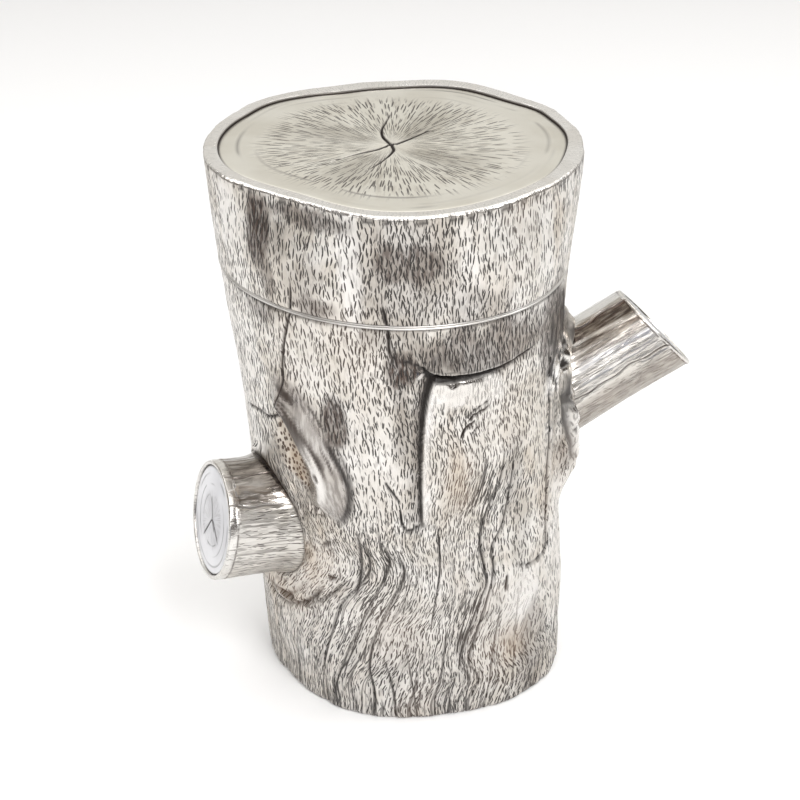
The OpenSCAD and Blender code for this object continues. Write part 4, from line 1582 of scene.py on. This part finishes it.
@dataclass
class Lid:
    """The lid: bark wall with its flat top ring, lid wire and end-grain disc."""

    wall: float = 1.2
    wire: float = 0.4
    rim_width: float = 2.9
    rim_thick: float = 1.6
    disc: float = 1.0
    drop: float = 0.4
    chaser: Chaser = field(default_factory=Chaser)

    def bark(self, material: bpy.types.Material) -> bpy.types.Object:
        """The chased lid wall: up the outside, over the rounded rim, in to the disc and down inside.

        Args:
            material: Its finish.

        Returns:
            The piece.
        """
        low, high = FORM.seam + self.wire, FORM.height
        bend = 0.8
        fine = np.linspace(low, high - bend, 400)
        z = crowded(1 + 2.0 * bell(fine - low, 0.8), fine, DETAIL.count(50))
        cracks = (Chaser.left_crack, Chaser.middle_crack, Chaser.back_cracks[0])
        angle = crowded_angles(z, cracks, DETAIL.value)
        grid = np.repeat(z[:, None], angle.shape[1], 1)
        bark = self.chaser.at(angle, grid)
        keep = 0.35 + 0.65 * ramp(grid - low, 0.0, 0.9)
        radius = FORM.radius(angle, grid) + keep * bark.relief - 0.14 * bell(grid - low, 0.12)
        outer = FORM.place(angle, grid, radius)[:, :-1]
        top_angle = angle[-1:]
        turns = np.linspace(0, math.pi / 2, 8)[:, None]
        nicks = 0.05 * noise((top_angle - BACK) / 1.5, 0 * top_angle, 61, 240)
        nicks = nicks + 0.10 * noise((top_angle - BACK) / 9, 0 * top_angle, 62, 40)
        round_z = high - bend + bend * np.sin(turns) + 0 * top_angle
        base_r = FORM.radius(top_angle, np.full_like(top_angle, high - bend))
        flare = FORM.radius(top_angle, np.full_like(top_angle, high)) - base_r
        round_r = base_r + flare * np.sin(turns) + bark.relief[-1:] * (1 - 0.3 * np.sin(turns))
        round_r = round_r - bend * (1 - np.cos(turns)) - nicks * np.sin(2 * turns)
        rim = FORM.place(np.repeat(top_angle, 8, 0), round_z, round_r)[:, :-1]
        steps = np.array([0.41, 0.59, 0.76, 0.9, 0.97, 1.0, 1.0])[:, None]
        inset = steps * self.rim_inset(top_angle)
        fall = np.array([0.02, 0.05, 0.04, 0.03, 0.10, 0.42, self.rim_thick])[:, None]
        wavy = 0.04 * noise((top_angle - BACK) / 3 + 0 * inset, inset, 63, 120) * (steps < 0.93)
        flat_z = high - fall + wavy
        at_top = FORM.radius(top_angle + 0 * inset, np.full(inset.shape, high)) - inset
        ring = FORM.place(top_angle + 0 * inset, flat_z, at_top, np.full_like(flat_z, high))[:, :-1]
        inner_z = np.array([high - self.rim_thick, 112.0, 108.0, 105.5, low + 0.1, low])[:, None]
        inner_z = inner_z + 0 * top_angle
        thin = np.array([0, 0, 0, 0, 0, -0.1])[:, None]
        inner_angle = top_angle + 0 * inner_z
        inner_r = FORM.radius(inner_angle, inner_z) - self.wall - thin
        inner = FORM.place(inner_angle, inner_z, inner_r)[:, :-1]
        count = outer.shape[1]
        flat = np.zeros((len(steps), count))
        inside = np.zeros((len(inner_z), count))
        over = ramp(np.sin(turns), 0.15, 0.75)

        def stack(values: np.ndarray, on_rim: np.ndarray, within: float) -> np.ndarray:
            """A mask over the wall, the rounded edge, the flat ring and the inside."""
            start, end = values[-1:, :-1], (flat + on_rim)[:1]
            return np.vstack([values[:, :-1], start + over * (end - start), flat + on_rim, inside + within])

        ring_dark = np.array([0, 0, 0, 0, 0.35, 1.0, 1.0])[:, None]
        ticks = ramp(noise((angle - BACK) / 1.2, 0 * grid, 64, 300), 0.1, 0.5)
        ticks = ticks * bell(grid - high + bend + 0.35, 0.5)
        dark = np.maximum(np.maximum(bark.oxide, 0.4 * bell(grid - low, 0.12)), 0.85 * ticks)
        # Shade and glow carry the bark's tarnish, painted shade and painted highlights; the flat ring gets
        # some painted highlight.
        masks = {"oxide": stack(dark, ring_dark, 0.0),
                 "polish": stack(bark.polish, np.array([0.9, 0.9, 0.9, 0.9, 1, 1, 1])[:, None], 1.0),
                 "shade": stack(bark.shade, 0.0 * ring_dark, 0.15),
                 "warmth": stack(bark.warmth, 0.1 + 0 * ring_dark, 0.2),
                 "flow": stack(bark.flow, 0 * ring_dark, 0.0),
                 "glow": stack(bark.glow, 0.25 + 0 * ring_dark, 0.3),
                 "punch": stack(bark.punch, 0 * ring_dark, 0.0)}
        lift = np.concatenate([round_z[:, :1] - high + bend, bend + 0.8 + 3 * steps, 6 + 0 * inner_z[:, :1]])
        extra = np.repeat(bark.grain[-1:], len(lift), 0)
        extra[..., 1] += lift
        grain = np.vstack([bark.grain, extra])
        points = np.vstack([outer, rim, ring, inner])
        piece = surface("lid_bark", points, material, loop=True, grain=grain, masks=masks)
        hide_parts("lid_wall")
        return piece

    def rim_inset(self, angle: np.ndarray) -> np.ndarray:
        """Width of the flat ring at a direction: wider towards the back and the right."""
        extra = 1.1 * hump(wrapped(angle - 85) / 75) + 0.6 * hump(wrapped(angle - 108) / 20)
        return self.rim_width + extra + 0.6 * hump(wrapped(angle + 12) / 25)

    def wire_ring(self, trunk: Trunk, material: bpy.types.Material) -> bpy.types.Object:
        """The wire round the lid's mouth, bulging by a sine as the mouth wire does.

        Args:
            trunk: The box that it sits on.
            material: Its finish.

        Returns:
            The piece.
        """
        t = np.linspace(0, 1, 8)
        low, high = FORM.seam, FORM.seam + self.wire
        section = [(0.20 - 0.16 * math.sin(math.pi * s), low + 0.03 + (self.wire - 0.05) * s) for s in t]
        section += [(0.4, high), (self.wall, high), (self.wall, low + 0.05)]
        section += [(self.wall - 0.05, low), (0.4, low)]
        piece = trunk.ring("lid_bead", section, material, FORM.seam)
        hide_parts("lid_wire")
        return piece

    def end_grain(self, material: bpy.types.Material) -> bpy.types.Object:
        """The disc: flat, with a four-armed crack, four faint valleys, engraved rings and a turned-down edge.

        Args:
            material: Its finish.

        Returns:
            The piece.
        """
        arms = (Cut(((-0.9, -0.6), (-1.6, 1.2), (-2.6, 4.4), (-2.7, 8), (-1.9, 12), (-1.0, 17)),
                    0.30, 0.6, 0.06, 2.2, taper=0.7),
                Cut(((-0.9, -0.6), (0.8, 0.6), (3.4, 4.0), (6.4, 7.2), (9.5, 9.4)),
                    0.34, 0.7, 0.04, 2.6, taper=0.75),
                Cut(((-0.9, -0.6), (-3.4, -2.6), (-7.2, -4.8), (-10.6, -7.6), (-14, -11)),
                    0.28, 0.5, 0.04, 2.2, taper=0.75),
                Cut(((-0.9, -0.6), (-0.4, -3.4), (-1.6, -6.8), (-3.8, -10.8), (-6, -14)),
                    0.28, 0.55, 0.06, 2.2, taper=0.7))
        engraved = ((0.79, 0.13, 0.08, 72), (0.885, 0.20, 0.14, 73), (0.925, 0.10, 0.06, 74))
        cols = DETAIL.count(600)
        angle = np.linspace(BACK, BACK + 360, cols, endpoint=False)[None]
        fine = np.linspace(0.006, 0.93, 400)
        share = crowded(1 + 2.2 * ramp(fine, 0.45, 0.2), fine, DETAIL.count(84))
        share = np.concatenate([share, [0.95, 0.968, 0.984, 0.995, 1.0]])[:, None]
        high = FORM.height
        rim = FORM.radius(angle, np.full_like(angle, high)) - self.rim_inset(angle) - LET_IN_GAP
        radius = rim * share
        x, y = radius * np.cos(np.radians(angle)), radius * np.sin(np.radians(angle))
        centre_x, centre_y = -1.0, -0.6
        turn = np.degrees(np.arctan2(y - centre_y, x - centre_x))
        reach = np.hypot(x - centre_x, y - centre_y)
        facets = np.abs(wrapped(4 * (turn - 96 - reach * 0.5))) / 180
        relief = -0.34 * facets * ramp(reach, 0.5, 6) * ramp(reach, 24, 12)
        relief = relief + 0.05 * noise((turn + 180) / 6, reach / 9, 71, 60) * ramp(reach, 27, 20)
        stain = np.zeros_like(relief)
        for at, wide, deep, gap_seed in engraved:
            off = (share - at) * 33 + 0.25 * noise((angle - BACK) / 30, 0 * angle, gap_seed, 12)
            broken = ramp(noise((angle - BACK) / 15, 0 * angle, gap_seed + 5, 24), -0.6, 0.2)
            relief = relief - deep * bell(off, wide) * (0.4 + 0.6 * broken)
            stain = np.maximum(stain, 0.75 * bell(off, wide) * broken)
        for arm in arms:
            route = tuple((px / ARC, py) for px, py in arm.route)
            cut, dark = replace(arm, route=route).carve(x / ARC, y)
            relief = relief + cut
            stain = np.maximum(stain, dark)
        edge = 0.30 * ramp(share, 0.975, 1.0)
        stain = np.maximum(stain, 0.95 * ramp(share, 0.986, 0.996))
        z = high - self.drop + 0.12 + relief - edge - 0.12 * ramp(share, 0.9, 0.985)
        top = FORM.place(angle, z, radius, np.full_like(z, high))
        below = np.array([1.0, 0.6, 0.02])[:, None]
        under_z = np.full((3, cols), high - self.drop - self.disc)
        under = FORM.place(angle, under_z, rim * below, np.full_like(under_z, high))
        points = np.vstack([top, under])[::-1]
        # Painted shade in the valleys between the facets.
        painted_sector_shades = 0.5 * ramp(facets, 0.35, 0.95) * ramp(reach, 2, 7) * ramp(reach, 26, 14)
        masks = {"oxide": np.clip(np.vstack([stain, np.zeros((3, cols))]), 0, 1)[::-1],
                 "shade": np.vstack([painted_sector_shades, np.zeros((3, cols))])[::-1]}
        radii = np.vstack([reach, rim * below])[::-1]
        turns = np.vstack([turn, turn[-1:] + 0 * below])[::-1]
        steps = np.concatenate([0 * turns[:, :1], wrapped(np.diff(turns, axis=1))], 1)
        turns = turns[:, :1] + np.cumsum(steps, 1)
        turns = np.concatenate([turns, turns[:, :1] + 360], 1)
        grain = np.stack([np.radians(turns), np.concatenate([radii, radii[:, :1]], 1)], -1)
        piece = surface("lid_grain", points, material, poles=True, grain=grain, masks=masks)
        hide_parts("lid_end_grain")
        return piece


# ---------------------------------------------------------------- studio


@dataclass(frozen=True)
class Lamp:
    """A soft square light: where it stands, what it faces, its width and its power in watts."""

    name: str
    place: tuple[float, float, float]
    width: float
    power: float
    color: Color = (1.0, 1.0, 1.0)
    target: tuple[float, float, float] = (0.0, 0.0, 0.06)

    def make(self) -> None:
        """Adds the light to the scene."""
        data = bpy.data.lights.new(self.name, "AREA")
        data.size = self.width
        data.energy = self.power
        data.color = self.color
        lamp = bpy.data.objects.new(self.name, data)
        lamp.location = self.place
        facing = Vector(self.target) - Vector(self.place)
        lamp.rotation_euler = facing.to_track_quat("-Z", "Y").to_euler()
        bpy.context.scene.collection.objects.link(lamp)


@dataclass
class Studio:
    """Camera, pale floor, soft lights and a dim room with a bright back wall for the silver to mirror."""

    elevation: float = 29.15
    distance: float = 397.0
    aim: tuple[float, float, float] = (0.85, 0.0, 62.7)
    lens: float = 85.5
    lamps: tuple[Lamp, ...] = (
        Lamp("overhead", (0.0, 0.1, 0.8), 0.9, 2.8),
        Lamp("forward", (0.0, -0.42, 0.72), 0.9, 3.0),
        Lamp("front", (0.3, -0.6, 0.7), 0.3, 3.6),
        Lamp("side_left", (-0.6, 0.1, 0.6), 0.4, 1.2),
        Lamp("side_right", (0.6, 0.3, 0.6), 0.4, 0.6),
        Lamp("window_right", (0.56, 0.0, 0.62), 0.22, 1.1, (0.97, 0.99, 1.0)),
        Lamp("window_left", (-0.36, -0.62, 0.38), 0.2, 0.8),
    )

    def camera(self) -> None:
        """Sets the camera looking along +Y and down by the elevation, at the aim point."""
        data = bpy.data.cameras.new("camera")
        data.lens = self.lens
        data.sensor_width = 36.0
        data.clip_start = 0.01
        camera = bpy.data.objects.new("camera", data)
        e = math.radians(self.elevation)
        camera.location = (self.aim[0] * MM, (self.aim[1] - self.distance * math.cos(e)) * MM,
                           (self.aim[2] + self.distance * math.sin(e)) * MM)
        camera.rotation_euler = (math.pi / 2 - e, 0.0, 0.0)
        bpy.context.scene.collection.objects.link(camera)
        bpy.context.scene.camera = camera

    def floor(self) -> None:
        """A wide pale floor."""
        bpy.ops.mesh.primitive_plane_add(size=6.0, location=(0, 0, -0.00005))
        floor = bpy.context.object
        floor.name = "floor"
        material = bpy.data.materials.new("floor_white")
        material.use_nodes = True
        shader = material.node_tree.nodes["Principled BSDF"]
        shader.inputs["Base Color"].default_value = (0.93, 0.93, 0.93, 1)
        shader.inputs["Roughness"].default_value = 0.8
        shader.inputs["Specular IOR Level"].default_value = 0.1
        floor.data.materials.append(material)

    def room(self) -> None:
        """The world: dim, with soft round patches at chosen directions for the silver to mirror."""
        world = bpy.data.worlds.new("room")
        bpy.context.scene.world = world
        world.use_nodes = True
        tree = world.node_tree
        place = node(tree, "ShaderNodeTexCoord", {}, {}, "Generated")
        tone: object = (0.085, 0.068, 0.056)
        for azimuth, height, tight, soft, color in ((90, 20, 50, 30, (0.88, 0.87, 0.835)),
                                                    (-90, -60, 50, 40, (0.7, 0.69, 0.67)),
                                                    (-103, 9, 16, 8, (0.33, 0.36, 0.45)),
                                                    (-90, 31, 7, 5, (0.95, 0.95, 1.0)),
                                                    (-20, 10, 20, 12, (0.07, 0.06, 0.055))):
            a, e = math.radians(azimuth), math.radians(height)
            facing = (math.cos(a) * math.cos(e), math.sin(a) * math.cos(e), math.sin(e))
            near = node(tree, "ShaderNodeVectorMath", {"operation": "DOT_PRODUCT"},
                        {0: place, 1: facing}, "Value")
            edge = math.cos(math.radians(tight + soft / 2)), math.cos(math.radians(max(tight - soft / 2, 0)))
            tone = mixed(tree, near.between(*edge), tone, color)
        background = tree.nodes["Background"]
        tree.links.new(tone.socket, background.inputs["Color"])
        background.inputs["Strength"].default_value = 1.0

    def build(self) -> None:
        """Sets up everything."""
        self.camera()
        self.floor()
        self.room()
        for lamp in self.lamps:
            lamp.make()
        bpy.context.scene.view_settings.view_transform = "Standard"


# ---------------------------------------------------------------- assembly


def finish_piece(piece: bpy.types.Object, body: str) -> None:
    """Ties a piece to its body and reports it."""
    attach(piece, body)
    LOG.info("%s rides on %s", piece.name, body)


def main() -> None:
    """Loads the frame, builds every piece round it, and lights it."""
    logging.basicConfig(level=logging.INFO, format="%(name)s: %(message)s")
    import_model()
    Studio().build()

    bark = BarkFinish().make()
    branch_bark = BarkFinish("branch_silver", ground=(0.60, 0.57, 0.52), pale=(0.70, 0.69, 0.66),
                             long_strokes=Strokes(0.62, 2.8, 0.08, 1.0, 0.2),
                             short_strokes=Strokes(0.6, 1.6, 0.06, 0.5, 0.4),
                             density=0.62, streak_share=0.15).make()
    polished = PlainFinish("polished_silver").make()
    satin = PlainFinish("satin_silver", roughness=0.3, stretch=(1.0, 1.0, 1.0)).make()
    wire = PlainFinish("wire_silver", (0.70, 0.68, 0.65), 0.32, (0.1, 0.1, 0.1)).make()
    lid_grain = GrainFinish("lid_end_grain_silver", 33.0, 15.0).make()
    stub_grain = GrainFinish("branch_end_grain_silver", 11.0, 6.0, core=0.6, marks=0.25,
                             color=(0.68, 0.68, 0.70), cream=(0.52, 0.52, 0.54)).make()

    trunk = Trunk()
    finish_piece(trunk.bark(bark), "box")
    finish_piece(trunk.mouth_wire(wire), "box")
    finish_piece(trunk.friction_collar(polished), "box")
    finish_piece(trunk.base(satin), "box")

    left_cracks = (Cut(((-2.5, -1.6), (-0.6, 0.1), (0.6, 2.4), (1.8, 4.6)), 0.16, 0.22, 0.05),
                   Cut(((-5.5, -2.6), (-2.8, -1.0), (-0.4, 0.2), (1.5, -2.2), (3.6, -5.4)), 0.16, 0.25, 0.05))
    right_cracks = (Cut(((-3.8, 2.2), (-0.8, 0.2), (1.2, -2.4), (1.8, -5.2)), 0.16, 0.22, 0.05),
                    Cut(((-0.8, 0.2), (2.0, 2.0), (3.4, 4.8)), 0.16, 0.22, 0.05))
    for branch, cracks in ((Branch("left_branch", LEFT), left_cracks),
                           (Branch("right_branch", RIGHT, seed=3.0), right_cracks)):
        finish_piece(branch.bark(branch_bark), "box")
        scaled = tuple(replace(c, route=tuple((px / ARC, py) for px, py in c.route)) for c in cracks)
        finish_piece(branch.end(stub_grain, scaled), "box")

    lid = Lid()
    finish_piece(lid.bark(bark), "lid")
    finish_piece(lid.wire_ring(trunk, wire), "lid")
    finish_piece(lid.end_grain(lid_grain), "lid")


if __name__ == "__main__":
    main()
